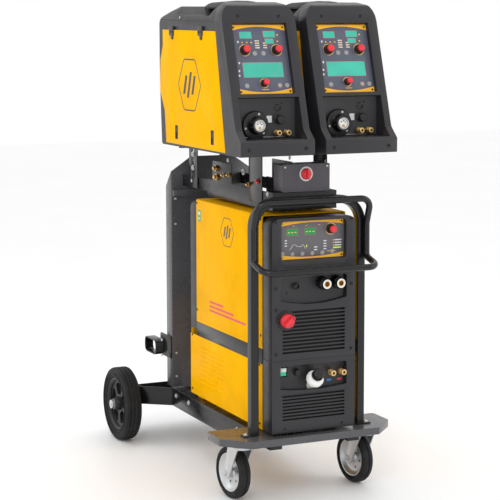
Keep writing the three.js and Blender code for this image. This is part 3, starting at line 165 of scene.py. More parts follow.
class Finish:
    """A principled material under construction. Patterns are laid out in object space, in metres."""

    def __init__(self, name, base, roughness, metallic=0.0, **sockets):
        self.material = bpy.data.materials.new(name)
        self.material.use_nodes = True
        self.tree = self.material.node_tree
        self.shader = self.tree.nodes["Principled BSDF"]
        self.shader.inputs["Base Color"].default_value = (*base, 1)
        self.shader.inputs["Roughness"].default_value = roughness
        self.shader.inputs["Metallic"].default_value = metallic
        for socket, value in sockets.items():
            self.shader.inputs[socket.replace("_", " ")].default_value = value
        self.place = self.node("ShaderNodeTexCoord").outputs["Object"]

    def node(self, kind, **settings):
        made = self.tree.nodes.new(kind)
        for key, value in settings.items():
            setattr(made, key, value)
        return made

    def link(self, source, socket):
        self.tree.links.new(source, socket)

    def noise(self, scale, detail=3.0, rough=0.55, stretch=None):
        made = self.node("ShaderNodeTexNoise")
        made.inputs["Scale"].default_value = scale
        made.inputs["Detail"].default_value = detail
        made.inputs["Roughness"].default_value = rough
        source = self.place
        if stretch:
            mapping = self.node("ShaderNodeMapping")
            mapping.inputs["Scale"].default_value = stretch
            self.link(source, mapping.inputs["Vector"])
            source = mapping.outputs["Vector"]
        self.link(source, made.inputs["Vector"])
        return made.outputs["Fac"]

    def fit(self, value, low, high, to_low=0.0, to_high=1.0):
        made = self.node("ShaderNodeMapRange")
        numbers = {"From Min": low, "From Max": high, "To Min": to_low, "To Max": to_high}
        for socket, number in numbers.items():
            made.inputs[socket].default_value = number
        self.link(value, made.inputs["Value"])
        return made.outputs["Result"]

    def combine(self, a, b, operation="MULTIPLY"):
        """Works on two outputs or numbers, which it multiplies unless told otherwise."""
        made = self.node("ShaderNodeMath", operation=operation)
        for socket, value in zip(made.inputs, (a, b)):
            if isinstance(value, (int, float)):
                socket.default_value = value
            else:
                self.link(value, socket)
        return made.outputs[0]

    def blend(self, amount, under, over):
        """Mixes two colours, each a tuple or an output, by an amount."""
        made = self.node("ShaderNodeMix", data_type="RGBA")
        self.link(amount, made.inputs["Factor"])
        for socket, value in ((made.inputs[6], under), (made.inputs[7], over)):
            if isinstance(value, tuple):
                socket.default_value = (*value, 1)
            else:
                self.link(value, socket)
        return made.outputs[2]

    def facing_up(self, low=0.55, high=1.0):
        split = self.node("ShaderNodeSeparateXYZ")
        self.link(self.node("ShaderNodeNewGeometry").outputs["Normal"], split.inputs[0])
        return self.fit(split.outputs["Z"], low, high)

    def edges(self, radius):
        """Near 1 along edges, from how far a rounded normal leans away from the real one."""
        rounded = self.node("ShaderNodeBevel", samples=4)
        rounded.inputs["Radius"].default_value = radius
        dot = self.node("ShaderNodeVectorMath", operation="DOT_PRODUCT")
        self.link(rounded.outputs["Normal"], dot.inputs[0])
        self.link(self.node("ShaderNodeNewGeometry").outputs["Normal"], dot.inputs[1])
        return self.fit(dot.outputs["Value"], 0.99, 0.80)

    def paint(self, source):
        self.link(source, self.shader.inputs["Base Color"])

    def gloss(self, source):
        self.link(source, self.shader.inputs["Roughness"])

    def relief(self, height, distance, strength=1.0):
        made = self.node("ShaderNodeBump")
        made.inputs["Strength"].default_value = strength
        made.inputs["Distance"].default_value = distance
        self.link(height, made.inputs["Height"])
        self.link(made.outputs["Normal"], self.shader.inputs["Normal"])


def shade(base, factor):
    return tuple(min(c * factor, 1.0) for c in base)


DUST = (0.12, 0.115, 0.105)


def powder_coat(name, base, roughness, wear, peel=420, coat=0.0, shine=0.4):
    """Powder paint: orange peel, a light dusting on top of dark finishes and painted shade on top of pale
    ones, thin wear along the edges.
    """
    made = Finish(name, base, roughness, Coat_Weight=coat, Coat_Roughness=0.16, Specular_IOR_Level=shine)
    cloud = made.noise(7, 4, 0.6)
    tone = made.blend(made.fit(cloud, 0.3, 0.7), shade(base, 0.90), shade(base, 1.07))
    # Upward faces in patches: a pale dusting on dark finishes; on pale finishes a darker copy of the paint,
    # which is painted shade.
    upward_patches = made.combine(made.facing_up(), made.fit(made.noise(38, 5, 0.7), 0.42, 0.75, 0.02, 0.24))
    tone = made.blend(upward_patches, tone, DUST if base[0] < 0.5 else shade(base, 0.62))
    chips = made.combine(made.edges(0.0011), made.fit(made.noise(120, 4, 0.7), 0.50, 0.66))
    made.paint(made.blend(chips, tone, wear))
    smear = made.fit(made.noise(16, 5, 0.65), 0.3, 0.7, roughness - 0.05, roughness + 0.09)
    made.gloss(made.combine(smear, made.combine(upward_patches, 0.35), "ADD"))
    made.relief(made.noise(peel, 2, 0.5), 0.00022, 0.35)
    return made.material


def moulding(name, base, roughness, grain=1500, depth=0.00012):
    """Moulded plastic: fine spark grain, uneven sheen, paler rubbed edges and dust in the flats."""
    made = Finish(name, base, roughness, Specular_IOR_Level=0.5)
    tone = made.blend(made.fit(made.noise(11, 4, 0.6), 0.3, 0.7), shade(base, 0.88), shade(base, 1.10))
    rub = made.combine(made.edges(0.0014), made.fit(made.noise(70, 4, 0.7), 0.40, 0.70, 0.05, 0.55))
    tone = made.blend(rub, tone, shade(base, 1.9))
    upward_patches = made.combine(made.facing_up(0.6), made.fit(made.noise(45, 5, 0.7), 0.45, 0.8, 0.0, 0.10))
    made.paint(made.blend(upward_patches, tone, DUST))
    made.gloss(made.fit(made.noise(22, 4, 0.6), 0.3, 0.7, roughness - 0.06, roughness + 0.08))
    made.relief(made.noise(grain, 2, 0.6), depth, 0.5)
    return made.material


def metal(name, base, roughness, stretch=None, depth=0.00005):
    """Bare or plated metal: fine lines or frosting, with dull patches."""
    made = Finish(name, base, roughness, 1.0)
    cloud = made.noise(30, 5, 0.65)
    made.paint(made.blend(made.fit(cloud, 0.3, 0.7), shade(base, 0.78), shade(base, 1.06)))
    fine = made.noise(620, 3, 0.6, stretch)
    blur = made.combine(made.fit(cloud, 0.3, 0.7, 0, 0.14), made.fit(fine, 0.3, 0.7, -0.04, 0.06), "ADD")
    made.gloss(made.combine(blur, roughness, "ADD"))
    made.relief(fine, depth, 0.5)
    return made.material


def rubber(name, base):
    """Tyre rubber: matt, scuffed pale in places, with a fine skin."""
    made = Finish(name, base, 0.78, Specular_IOR_Level=0.35)
    scuff = made.fit(made.noise(60, 6, 0.72), 0.50, 0.72, 0.0, 0.45)
    made.paint(made.blend(scuff, base, (0.034, 0.033, 0.031)))
    made.gloss(made.fit(made.noise(24, 4, 0.6), 0.3, 0.7, 0.62, 0.86))
    made.relief(made.noise(900, 3, 0.6), 0.0002, 0.5)
    return made.material


def film(name, base, roughness=0.38):
    """Printed polycarbonate film: fine texture and soft finger marks."""
    made = Finish(name, base, roughness, Coat_Weight=0.12, Coat_Roughness=0.3)
    marks = made.noise(34, 5, 0.7)
    made.paint(made.blend(made.fit(marks, 0.3, 0.7), shade(base, 0.93), shade(base, 1.06)))
    made.gloss(made.fit(marks, 0.35, 0.7, roughness - 0.07, roughness + 0.10))
    made.relief(made.noise(2200, 1, 0.5), 0.00004, 0.4)
    return made.material


def gloss_plastic(name, base, roughness=0.26, **sockets):
    """Polished plastic with faint flow marks and a few scratches."""
    made = Finish(name, base, roughness, **sockets)
    flow = made.noise(48, 5, 0.65)
    made.paint(made.blend(made.fit(flow, 0.3, 0.7), shade(base, 0.86), shade(base, 1.05)))
    lines = made.noise(210, 4, 0.7, (1, 1, 0.15))
    made.gloss(made.fit(lines, 0.35, 0.7, roughness - 0.04, roughness + 0.12))
    made.relief(made.noise(330, 2, 0.5), 0.00006, 0.3)
    return made.material


def screen(name, base, glow):
    """A lit display window: rows of cells under clear gloss, brighter in soft patches."""
    made = Finish(name, base, 0.16, Coat_Weight=0.5, Coat_Roughness=0.06)
    wave = made.node("ShaderNodeTexWave", wave_type="BANDS", bands_direction="Z")
    wave.inputs["Scale"].default_value = 260
    made.link(made.place, wave.inputs["Vector"])
    rows = made.blend(made.fit(wave.outputs["Fac"], 0, 1, 0.0, 0.35), base, shade(base, 0.80))
    lit = made.blend(made.fit(made.noise(9, 2, 0.5), 0.35, 0.65), rows, shade(base, 1.18))
    made.paint(lit)
    made.link(lit, made.shader.inputs["Emission Color"])
    made.shader.inputs["Emission Strength"].default_value = glow
    return made.material


# Each finish: its maker, its slot in the record, its colour (None is the user's) and its settings.
# Brass and copper have no slot, because the record has none for them.
FINISHES = {
    "frame_black": (powder_coat, "black_steel", None,
                    {"roughness": 0.22, "wear": (0.16, 0.16, 0.17), "shine": 0.42}),
    # A paler copy of the black powder coat on the platform and the column; its lighter colour is painted
    # reflection.
    "column_black": (powder_coat, "black_steel", (0.080, 0.080, 0.086),
                     {"roughness": 0.24, "wear": (0.2, 0.2, 0.21), "shine": 0.45}),
    "rim_black": (powder_coat, "black_steel", (0.010, 0.010, 0.011),
                  {"roughness": 0.42, "wear": (0.2, 0.2, 0.2)}),
    "box_grey": (powder_coat, "grey_steel", (0.080, 0.075, 0.086),
                 {"roughness": 0.42, "wear": (0.3, 0.3, 0.31)}),
    "panel_yellow": (powder_coat, "yellow_steel", None,
                     {"roughness": 0.30, "wear": (0.40, 0.22, 0.02), "peel": 330, "shine": 0.012}),
    "moulding": (moulding, "black_plastic", None, {"roughness": 0.38}),
    # Dark moulding for the fan, the switch's dot and the cap's seam; as discs, plugs and sheets in holes,
    # bores and behind grilles it is painted shade.
    "moulding_dark": (moulding, "black_plastic", (0.005, 0.005, 0.005), {"roughness": 0.6}),
    "black_gloss": (gloss_plastic, "black_plastic", (0.004, 0.004, 0.005), {"roughness": 0.24}),
    "keypad": (film, "panel_grey", None, {}),
    "keypad_dark": (film, "panel_grey", None, {}),
    "keypad_line": (film, "panel_grey", (0.30, 0.07, 0.10), {}),
    "film_yellow": (film, "yellow_steel", (0.93, 0.46, 0.004), {"roughness": 0.34}),
    "film_black": (film, "black_plastic", (0.016, 0.015, 0.016), {"roughness": 0.42}),
    "film_white": (film, "white_plastic", (0.70, 0.69, 0.66), {"roughness": 0.42}),
    "film_green": (film, "green_plastic", (0.03, 0.36, 0.16), {"roughness": 0.40}),
    "film_red": (film, "red_plastic", (0.72, 0.035, 0.045), {"roughness": 0.36}),
    "film_blue": (film, "panel_grey", (0.03, 0.16, 0.50), {"roughness": 0.36}),
    "knob_red": (gloss_plastic, "red_plastic", None, {"roughness": 0.28}),
    "lamp_green": (gloss_plastic, "green_plastic", (0.03, 0.42, 0.24),
                   {"roughness": 0.22, "Emission_Color": (0.02, 0.5, 0.3, 1), "Emission_Strength": 0.25}),
    "lamp_lime": (gloss_plastic, "green_plastic", (0.55, 0.78, 0.04),
                  {"roughness": 0.3, "Emission_Color": (0.5, 0.8, 0.03, 1), "Emission_Strength": 0.25}),
    "lamp_amber": (gloss_plastic, "red_plastic", (0.90, 0.48, 0.10), {"roughness": 0.3}),
    "white_plastic": (gloss_plastic, "white_plastic", (0.78, 0.77, 0.73), {"roughness": 0.36}),
    "key_grey": (gloss_plastic, "panel_grey", (0.32, 0.31, 0.30), {"roughness": 0.42}),
    "lcd": (screen, "green_plastic", None, {"glow": 0.03}),
    "digit_window": (screen, "green_plastic", None, {"glow": 0.05}),
    "digit_bar": (gloss_plastic, "yellow_steel", (0.75, 0.50, 0.12),
                  {"roughness": 0.4, "Emission_Color": (1, 0.55, 0.1, 1), "Emission_Strength": 0.5}),
    "zinc": (metal, "zinc", (0.66, 0.68, 0.70), {"roughness": 0.26}),
    "nickel": (metal, "zinc", (0.62, 0.60, 0.57), {"roughness": 0.22}),
    "brass": (metal, None, (0.74, 0.49, 0.20), {"roughness": 0.24}),
    "copper_wire": (metal, None, (0.72, 0.34, 0.19), {"roughness": 0.30, "stretch": (1, 1, 1)}),
    "aluminium": (metal, "aluminium", (0.58, 0.59, 0.60), {"roughness": 0.34, "stretch": (1, 14, 1)}),
    "rubber": (rubber, "tyre", (0.010, 0.010, 0.011), {}),
}


def finish_of(name):
    """The material of that name, made on first use."""
    known = bpy.data.materials.get(name)
    if known:
        return known
    maker, _, base, settings = FINISHES[name]
    return maker(name, base or tuple(getattr(bpy.context.scene.cart_colours, name)), **settings)


# ---- Outlines, in millimetres ------------------------------------------------------------------------

def arc(cx, cy, radius, start, end, steps):
    """Points on an arc, angles in degrees."""
    turn = [math.radians(start + (end - start) * i / steps) for i in range(steps + 1)]
    return [(cx + radius * math.cos(a), cy + radius * math.sin(a)) for a in turn]


def circle(radius, cx=0.0, cy=0.0, steps=6):
    """Evenly spaced points on a circle."""
    return arc(cx, cy, radius, 0, 360, steps)[:-1]


def rect(width, height, corner=0.0, cx=0.0, cy=0.0, steps=6):
    """A rectangle round a centre, its corners rounded."""
    if not corner:
        return [(cx + way_x * width / 2, cy + way_y * height / 2)
                for way_x, way_y in ((-1, -1), (1, -1), (1, 1), (-1, 1))]
    x, y = width / 2 - corner, height / 2 - corner
    points = []
    for way_x, way_y, start in ((1, -1, -90), (1, 1, 0), (-1, 1, 90), (-1, -1, 180)):
        points += arc(cx + way_x * x, cy + way_y * y, corner, start, start + 90, steps)
    return points


def shrink(outline, distance):
    """An anticlockwise outline moved inwards."""
    points = []
    count = len(outline)
    for i, here in enumerate(outline):
        here = Vector(here)
        before = (here - Vector(outline[i - 1])).normalized()
        after = (Vector(outline[(i + 1) % count]) - here).normalized()
        normal = Vector((-before.y - after.y, before.x + after.x))
        points.append(tuple(here + normal * (distance / max(1 + before.dot(after), 0.3))))
    return points


# ---- Meshes ------------------------------------------------------------------------------------------

class Maker:
    """Gathers closed parts of one piece. Points are millimetres on a board."""

    def __init__(self, place=Matrix.Identity(4)):
        self.mesh = bmesh.new()
        self.place = place

    def ring(self, points):
        return [self.mesh.verts.new(self.place @ Vector(point)) for point in points]

    def skin(self, rings, capped=True, closed=False):
        pairs = list(zip(rings, rings[1:])) + ([(rings[-1], rings[0])] if closed else [])
        for a, b in pairs:
            count = max(len(a), len(b))
            for i in range(count):
                j = (i + 1) % count
                corners = [a[i % len(a)], a[j % len(a)], b[j % len(b)], b[i % len(b)]]
                unique = list(dict.fromkeys(corners))
                if len(unique) > 2:
                    self.mesh.faces.new(unique)
        if capped and not closed:
            for end in (rings[0], rings[-1]):
                if len(end) > 2:
                    self.mesh.faces.new(end)
        return self

    def slab(self, outline, low, high, soft=0.0):
        """An outline drawn from low to high, its far edges rounded."""
        layers = [(0, low)]
        if soft:
            layers += [(soft * (1 - math.cos(a)), high - soft * (1 - math.sin(a)))
                       for a in (math.radians(t) for t in (0, 30, 60, 90))]
        else:
            layers.append((0, high))
        return self.skin([self.ring([(x, y, z) for x, y in (shrink(outline, inset) if inset else outline)])
                          for inset, z in layers])

    def border(self, outer, inner, low, high):
        """A closed band between two outlines of equally many points."""
        rings = [self.ring([(x, y, z) for x, y in outline]) for outline, z in
                 ((outer, low), (outer, high), (inner, high), (inner, low))]
        return self.skin(rings, closed=True)

    def lathe(self, profile, at=(0, 0, 0), steps=40, closed=False, ribs=0, rib=0.0):
        """Turns [radius, height] points about the board's z at a point; ribs knurl the widest ones."""
        widest = max(radius for radius, _ in profile)
        rings = []
        for radius, height in profile:
            if radius < 1e-6:
                rings.append(self.ring([(at[0], at[1], at[2] + height)]))
                continue
            points = []
            for i in range(steps):
                a = 2 * math.pi * i / steps
                r = radius
                if ribs and radius > widest - 0.6:
                    r -= rib * (0.5 - 0.5 * math.cos(a * ribs))
                points.append((at[0] + r * math.cos(a), at[1] + r * math.sin(a), at[2] + height))
            rings.append(self.ring(points))
        return self.skin(rings, closed=closed)

    def tube(self, path, radius, sides=20, closed=False):
        """A round bar along points."""
        path = [Vector(p) for p in path]
        count = len(path)
        tangents, across = [], []
        for i, here in enumerate(path):
            ahead = path[(i + 1) % count] if closed or i < count - 1 else here
            behind = path[i - 1] if closed or i else here
            tangents.append((ahead - behind).normalized())
            last = across[-1] if across else tangents[0].orthogonal()
            across.append((last - tangents[i] * last.dot(tangents[i])).normalized())
        twist = 0
        if closed:
            last = (across[-1] - tangents[0] * across[-1].dot(tangents[0])).normalized()
            twist = math.atan2(across[0].cross(last).dot(tangents[0]), across[0].dot(last))
        rings = []
        for i, here in enumerate(path):
            other = tangents[i].cross(across[i])
            turns = (2 * math.pi * k / sides - twist * i / count for k in range(sides))
            rings.append(self.ring([here + (across[i] * math.cos(a) + other * math.sin(a)) * radius
                                    for a in turns]))
        return self.skin(rings, closed=closed)

    def bar(self, path, section, across):
        """A bar of a drawn section along an open path; the section's y keeps to one direction."""
        rings = []
        for i, here in enumerate(path):
            tangent = (path[min(i + 1, len(path) - 1)] - path[max(i - 1, 0)]).normalized()
            wide = across.cross(tangent)
            rings.append(self.ring([here + wide * x + across * y for x, y in section]))
        return self.skin(rings)

    def screw(self, x, y, z, thread, washer=False):
        """A pan head with a round socket, and a washer under it if asked."""
        head, rise, socket, thick = thread * 0.95, thread * 0.55, thread * 0.95 * 0.45, 1.2
        if washer:
            self.lathe([(0, z), (head * 1.35, z), (head * 1.35, z + 0.9), (head * 1.2, z + thick),
                        (0, z + thick)], (x, y, 0), 28)
            z += thick
        return self.lathe([(0, z), (head, z), (head, z + rise * 0.4), (head * 0.86, z + rise * 0.85),
                           (head * 0.6, z + rise), (socket, z + rise), (socket * 0.9, z + rise * 0.35),
                           (0, z + rise * 0.35)], (x, y, 0), 24)

    def hexagon(self, x, y, z, across, height, bore=0.0):
        """A hexagon nut or head with chamfered corners, on a stub of thread."""
        self.slab(circle(across / math.sqrt(3), x, y), z, z + height, across * 0.06)
        if bore:
            self.lathe([(0, z), (bore, z), (bore, z + height * 1.5), (bore * 0.8, z + height * 1.65),
                        (0, z + height * 1.65)], (x, y, 0), 20)
        return self

    def done(self, name, finish, body="cart", replaces=()):
        """The gathered parts as one object that rides on a body."""
        bmesh.ops.recalc_face_normals(self.mesh, faces=self.mesh.faces)
        data = bpy.data.meshes.new(name)
        self.mesh.to_mesh(data)
        self.mesh.free()
        data.transform(Matrix.Scale(MM, 4))
        show(name, data, finish, body, replaces, 32)


def show(name, data, finish, body, replaces, crease):
    """A mesh as a piece of a finish that rides on a body; edges sharper than the crease stay sharp."""
    data.shade_smooth()
    data.set_sharp_from_angle(angle=math.radians(crease))
    data.materials.clear()
    data.materials.append(finish_of(finish))
    piece = bpy.data.objects.new(name, data)
    bpy.context.scene.collection.objects.link(piece)
    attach(piece, body)
    if replaces:
        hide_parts(*replaces)


def softened(node, finish, width):
    """A CAD node's own shape with its faces joined up and its edges rounded."""
    source = frame["nodes"][node]
    weld, flat, sharp, shortest = 0.0004, math.radians(1), math.radians(28), 2.2
    mesh = bmesh.new()
    mesh.from_mesh(source.data)
    bmesh.ops.remove_doubles(mesh, verts=mesh.verts, dist=weld)
    bmesh.ops.dissolve_limit(mesh, angle_limit=flat, verts=mesh.verts, edges=mesh.edges)
    bmesh.ops.recalc_face_normals(mesh, faces=mesh.faces)
    width *= MM
    edges = [e for e in mesh.edges if len(e.link_faces) == 2 and e.calc_face_angle(0) > sharp
             and e.calc_length() > shortest * width]
    bmesh.ops.bevel(mesh, geom=edges, offset=width, segments=2, profile=0.5, affect="EDGES",
                    clamp_overlap=True)
    bmesh.ops.recalc_face_normals(mesh, faces=mesh.faces)
    data = bpy.data.meshes.new(f"{node}_finished")
    mesh.to_mesh(data)
    mesh.free()
    show(f"{node}_finished", data, finish, source["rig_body"], [node], 30)


def soften_all(table):
    """Rounds the nodes of each row of (finish, edge width, names)."""
    for finish, width, nodes in table:
        for node in nodes.split():
            softened(node, finish, width)


def body_of(node):
    """The body that a CAD node rides on."""
    return frame["nodes"][node]["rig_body"]


def fillet(corners, steps=8):
    """Corner points (x, y, z, bend radius) with their bends turned into arcs."""
    path = []
    count = len(corners)
    for i, (x, y, z, radius) in enumerate(corners):
        here = Vector((x, y, z))
        before, after = Vector(corners[i - 1][:3]), Vector(corners[(i + 1) % count][:3])
        if not radius:
            path.append(here)
            continue
        a, b = (before - here).normalized(), (after - here).normalized()
        half = a.angle(b) / 2
        reach = radius / math.tan(half)
        middle = here + (a + b).normalized() * (radius / math.sin(half))
        start, end = here + a * reach - middle, here + b * reach - middle
        turn = start.angle(end)
        for k in range(steps + 1):
            share = turn * k / steps
            path.append(middle + (start * math.sin(turn - share) + end * math.sin(share)) / math.sin(turn))
    return path


# ---- Shared fittings ---------------------------------------------------------------------------------

def screws(name, place, points, thread, finish="black_gloss", body="cart", washer=False):
    """Like screws as one piece, at (x, y, z) points of a board."""
    made = Maker(place)
    for x, y, z in points:
        made.screw(x, y, z, thread, washer)
    made.done(name, finish, body)


def slabs(name, place, outlines, finish, high, low=0.0, soft=0.0, body="cart", replaces=()):
    """Like slabs as one piece, each an outline on a board."""
    made = Maker(place)
    for outline in outlines:
        made.slab(outline, low, high, soft)
    made.done(name, finish, body, replaces)


def knob(name, node, out, radius, cap, step):
    """A push-and-turn knob: black ribbed skirt, red cap with a shallow dish."""
    box, body, height = Box(node), body_of(node), 22
    neck = height * 0.62
    lean = math.atan2(out.z, -out.y)
    place = along((box.mid.x, box.high.y - radius * math.sin(lean), box.low.z + radius * math.cos(lean)), out)
    Maker(place).lathe([(0, 0), (radius, 0), (radius, 1.6), (radius - 0.9, 2.4), (radius - 1.2, step - 0.8),
                        (radius - 2, step), (cap + 0.9, step), (cap + 0.4, neck), (0, neck)],
                       steps=96, ribs=24, rib=0.5).done(f"{name}_skirt", "black_gloss", body, [node])
    Maker(place).lathe([(0, neck), (cap, neck), (cap, height - 1.2), (cap - 0.4, height - 0.4),
                        (cap - 1.4, height), (cap - 2.6, height), (cap - 3.6, height - 0.9),
                        (0, height - 1.1)],
                       steps=72, ribs=18, rib=0.25).done(f"{name}_cap", "knob_red", body)
    return place


def coupling(name, place, radius, reach):
    """A brass quick coupling: nut, barrel, ridged collar and bore, with a dark plug of painted shade deep in
    the bore.
    """
    bore, barrel, groove = radius * 0.45, radius * 0.8, radius * 0.86
    made = Maker(place).hexagon(0, 0, 0, radius * 2.0, 6)
    made.lathe([(bore, 2), (barrel, 2), (barrel, reach * 0.35), (radius, reach * 0.38),
                (radius, reach * 0.55), (groove, reach * 0.6), (groove, reach * 0.7),
                (radius, reach * 0.75), (radius, reach - 1), (radius * 0.85, reach), (bore, reach)],
               closed=True).done(name, "brass")
    # A dark plug deep in the bore: painted shade.
    plug, floor = radius * 0.44, reach - 6
    Maker(place).lathe([(0, 2), (plug, 2), (plug, floor), (0, floor)], steps=24).done(
        f"{name}_bore", "moulding_dark")


def panel_strips(name, face, half, high, margin, thin, thick):
    """Strips along a panel's top and bottom, each with a hollow arc as its free edge."""
    made, steps = Maker(face), 18
    for base, way in ((high - margin, -1), (margin, 1)):
        points = [(-half * way, base), (half * way, base)]
        for i in range(steps + 1):
            share = i / steps
            points.append((way * half * (1 - 2 * share),
                           base + way * (thin + (thick - thin) * (2 * share - 1) ** 2)))
        made.slab(points, 0, mm("film"))
    made.done(name, "film_yellow")


def emblem(name, place, radius, body):
    """A made-up mark: a rounded hexagon line round three slanted bars."""
    thick, line, pitch, width = mm("film"), radius * 0.045, radius * 0.36, radius * 0.085
    outer = [(p.x, p.y) for p in fillet([(x, y, 0, radius * 0.22) for x, y in circle(radius, steps=6)], 6)]
    made = Maker(place).border(outer, shrink(outer, line), 0, thick)
    for x, tall in ((-pitch, 0.62), (0, 0.86), (pitch, 0.62)):
        half, lean = tall * radius / 2, tall * radius * 0.16
        made.slab([(x - width - lean, -half), (x + width - lean, -half), (x + width + lean, half),
                   (x - width + lean, half)], 0, thick)
    made.done(name, "film_black", body)


# ---- Trolley -----------------------------------------------------------------------------------------

def front_hoop(bolt):
    """The arched hoop over the platform, on two bolted feet."""
    hoop = Box("front_hoop")
    foot, rise, tube, bend, overlap = 24, 4, 25, 85, 2
    half, y, crown = hoop.high.x - foot - tube / 2, hoop.mid.y, hoop.high.z - tube / 2
    for side in SIDES.values():
        place = facing_up(side * (half + (tube + foot - overlap) / 2), y, hoop.low.z)
        slabs(f"hoop_foot_{side + 2}", place, [rect(foot + overlap, hoop.size.y, 3)], "frame_black", rise,
              soft=0.8)
    path = fillet([(-half, y, hoop.low.z, 0), (-half, y, crown, bend - tube / 2),
                   (half, y, crown, bend - tube / 2), (half, y, hoop.low.z, 0)], 14)
    Maker().bar(path, rect(tube, hoop.size.y, 3.5), REAR).done("hoop_tube", "frame_black", "cart",
                                                               ["front_hoop"])
    screws("hoop_bolts", facing_up(0, 0, 0),
           [(side * (hoop.high.x - foot / 2), y, hoop.low.z + rise) for side in SIDES.values()],
           bolt * 0.8, "zinc", washer=True)


def push_handle():
    """A closed loop of round bar, bent forwards at its top and at its grip."""
    loop = Box("handle_loop")
    radius, wide_bend, near_bend = 10, 34, 18
    wide, back = loop.high.x - radius, loop.high.y - radius
    upper, lower = loop.high.z - 87, loop.high.z - 188
    right = [(wide, loop.high.y - 37.7, loop.high.z - radius + 0.8, wide_bend),
             (wide, back, upper, near_bend), (wide, back, lower, near_bend),
             (wide, loop.low.y + radius - 0.3, loop.low.z + radius - 0.3, wide_bend)]
    left = [(-x, y, z, bend) for x, y, z, bend in reversed(right)]
    path = fillet([left[-1], *right, *left[:-1]], 10)
    Maker().tube(path, radius - 0.1, 28, closed=True).done("push_handle", "frame_black", "cart",
                                                           ["handle_loop"])


def trolley():
    edge, bolt = mm("sheet_edge"), mm("bolt")
    # The platform and the column take the paler black, whose colour is painted reflection.
    soften_all((
        ("column_black", edge * 1.6, "front_platform"),
        ("frame_black", edge, "rail_left rail_right bottle_tray hose_hook"),
        ("column_black", edge * 1.4, "rear_column"),
        ("zinc", edge, "rear_axle caster_plate_left caster_plate_right caster_fork_left caster_fork_right"),
    ))
    front_hoop(bolt)
    push_handle()
    rail, column, hook = Box("rail_left"), Box("rear_column"), Box("hose_hook")
    for word, side in SIDES.items():
        screws(f"rail_bolts_{word}", facing_side(side, side * -rail.low.x, 0, 0),
               [(side * y, rail.high.z - 22, 0)
                for y in (rail.low.y + 240, rail.high.y - 150, rail.high.y - 40)],
               bolt * 0.8, "zinc", washer=True)
        screws(f"column_screws_{word}", facing_front(0, column.low.y, 0),
               [(side * (column.high.x - 9), z, 0)
                for z in (column.high.z - 140, column.high.z - 225, column.low.z + 120, column.low.z + 40)],
               bolt * 0.55, "zinc")
    screws("hose_hook_bolts", facing_side(-1, hook.low.x, 0, 0),
           [(-(hook.low.y + 15), z, 0.2) for z in (hook.low.z + 13, hook.high.z - 11)], bolt * 0.7, "zinc")


# ---- Wheels ------------------------------------------------------------------------------------------

def tyre_profile(inner, outer, half, grooves=()):
    """A closed ring from the bead round the tread, grooves given as places across the tread."""
    shoulder = outer - 9
    profile = [(inner, -half + 6), (inner + 4, -half + 2), (shoulder - 6, -half), (shoulder, -half + 1.2),
               (outer - 3, -half + 5), (outer - 0.6, -half + 10)]
    flank = [(r, -x) for r, x in reversed(profile)]
    for at in grooves:
        profile += [(outer, at - 2.4), (outer - 2.6, at - 1.4), (outer - 2.6, at + 1.4), (outer, at + 2.4)]
    return profile + flank


def pocketed_web(place, low, high, hub, rim, count, depth):
    """A wheel's web made of equal sectors, each with one rounded pocket in its outer face."""
    made = Maker(place)
    middle = (hub + rim) / 2
    wide, tall = middle * 2 * math.pi / count, rim - hub

    def sector(width, height, corner, z, turn):
        outline = rect(width, height, corner)
        points = []
        for (x, y), (ahead_x, ahead_y) in zip(outline, outline[1:] + outline[:1]):
            for k in range(4):
                bent = turn - (x + (ahead_x - x) * k / 4) / middle
                radius = middle + y + (ahead_y - y) * k / 4
                points.append((radius * math.cos(bent), radius * math.sin(bent), z))
        return made.ring(points)

    for i in range(count):
        turn = math.pi / 2 + i * 2 * math.pi / count
        made.skin([sector(wide, tall, 0.01, low, turn), sector(wide, tall, 0.01, high, turn),
                   sector(wide * 0.74, tall * 0.66, tall * 0.2, high, turn),
                   sector(wide * 0.70, tall * 0.61, tall * 0.18, high - depth, turn)])
    return made


def rear_wheel(word, side):
    """A grooved tyre on a pocketed rim, and the nut on the axle's end."""
    node = f"rear_rim_{word}"
    tyre, rim, axle = Box(f"rear_tyre_{word}"), Box(node), Box("rear_axle")
    place, body = facing_side(side, *tyre.mid), body_of(f"rear_tyre_{word}")
    outer, half, inner, hub = tyre.size.z / 2, tyre.size.x / 2, rim.size.z / 2 + 0.3, rim.size.x / 2
    Maker(place).lathe(tyre_profile(inner, outer, half, (-13, 0, 13)), steps=96, closed=True).done(
        f"rear_tyre_{word}_tread", "rubber", body, [f"rear_tyre_{word}"])
    marks = Maker(place)
    for radius in (inner + 9, inner + 14, inner + 19):
        marks.tube([(x, y, half - 0.2) for x, y in circle(radius, steps=72)], 0.9, 8, closed=True)
    marks.done(f"rear_tyre_{word}_ribs", "rubber", body)
    barrel = inner - 0.4
    flank = [(barrel, half - 8), (barrel - 3, half - 6.5), (barrel - 8, half - 9), (barrel - 12, half - 15)]
    ring = [(barrel, 8 - half), *flank, *((r, -x) for r, x in reversed(flank[1:]))]
    Maker(place).lathe(ring, steps=72, closed=True).done(f"{node}_barrel", "rim_black", body, [node])
    pocketed_web(place, -5, 12, 22, barrel - 11, 5, 11).done(f"{node}_web", "rim_black", body)
    Maker(place).lathe([(10.6, -hub), (20, -hub), (23, -hub + 4), (24, -8), (24, 12), (22, hub - 6),
                        (18, hub), (10.6, hub)], steps=48, closed=True).done(f"{node}_hub", "rim_black", body)
    nut = Maker(facing_side(side, side * axle.high.x, axle.mid.y, axle.mid.z)).hexagon(0, 0, -9, 24, 7, 8)
    nut.lathe([(0, -11), (16, -11), (16, -9), (0, -9)], steps=36).done(f"rear_axle_nut_{word}", "zinc")


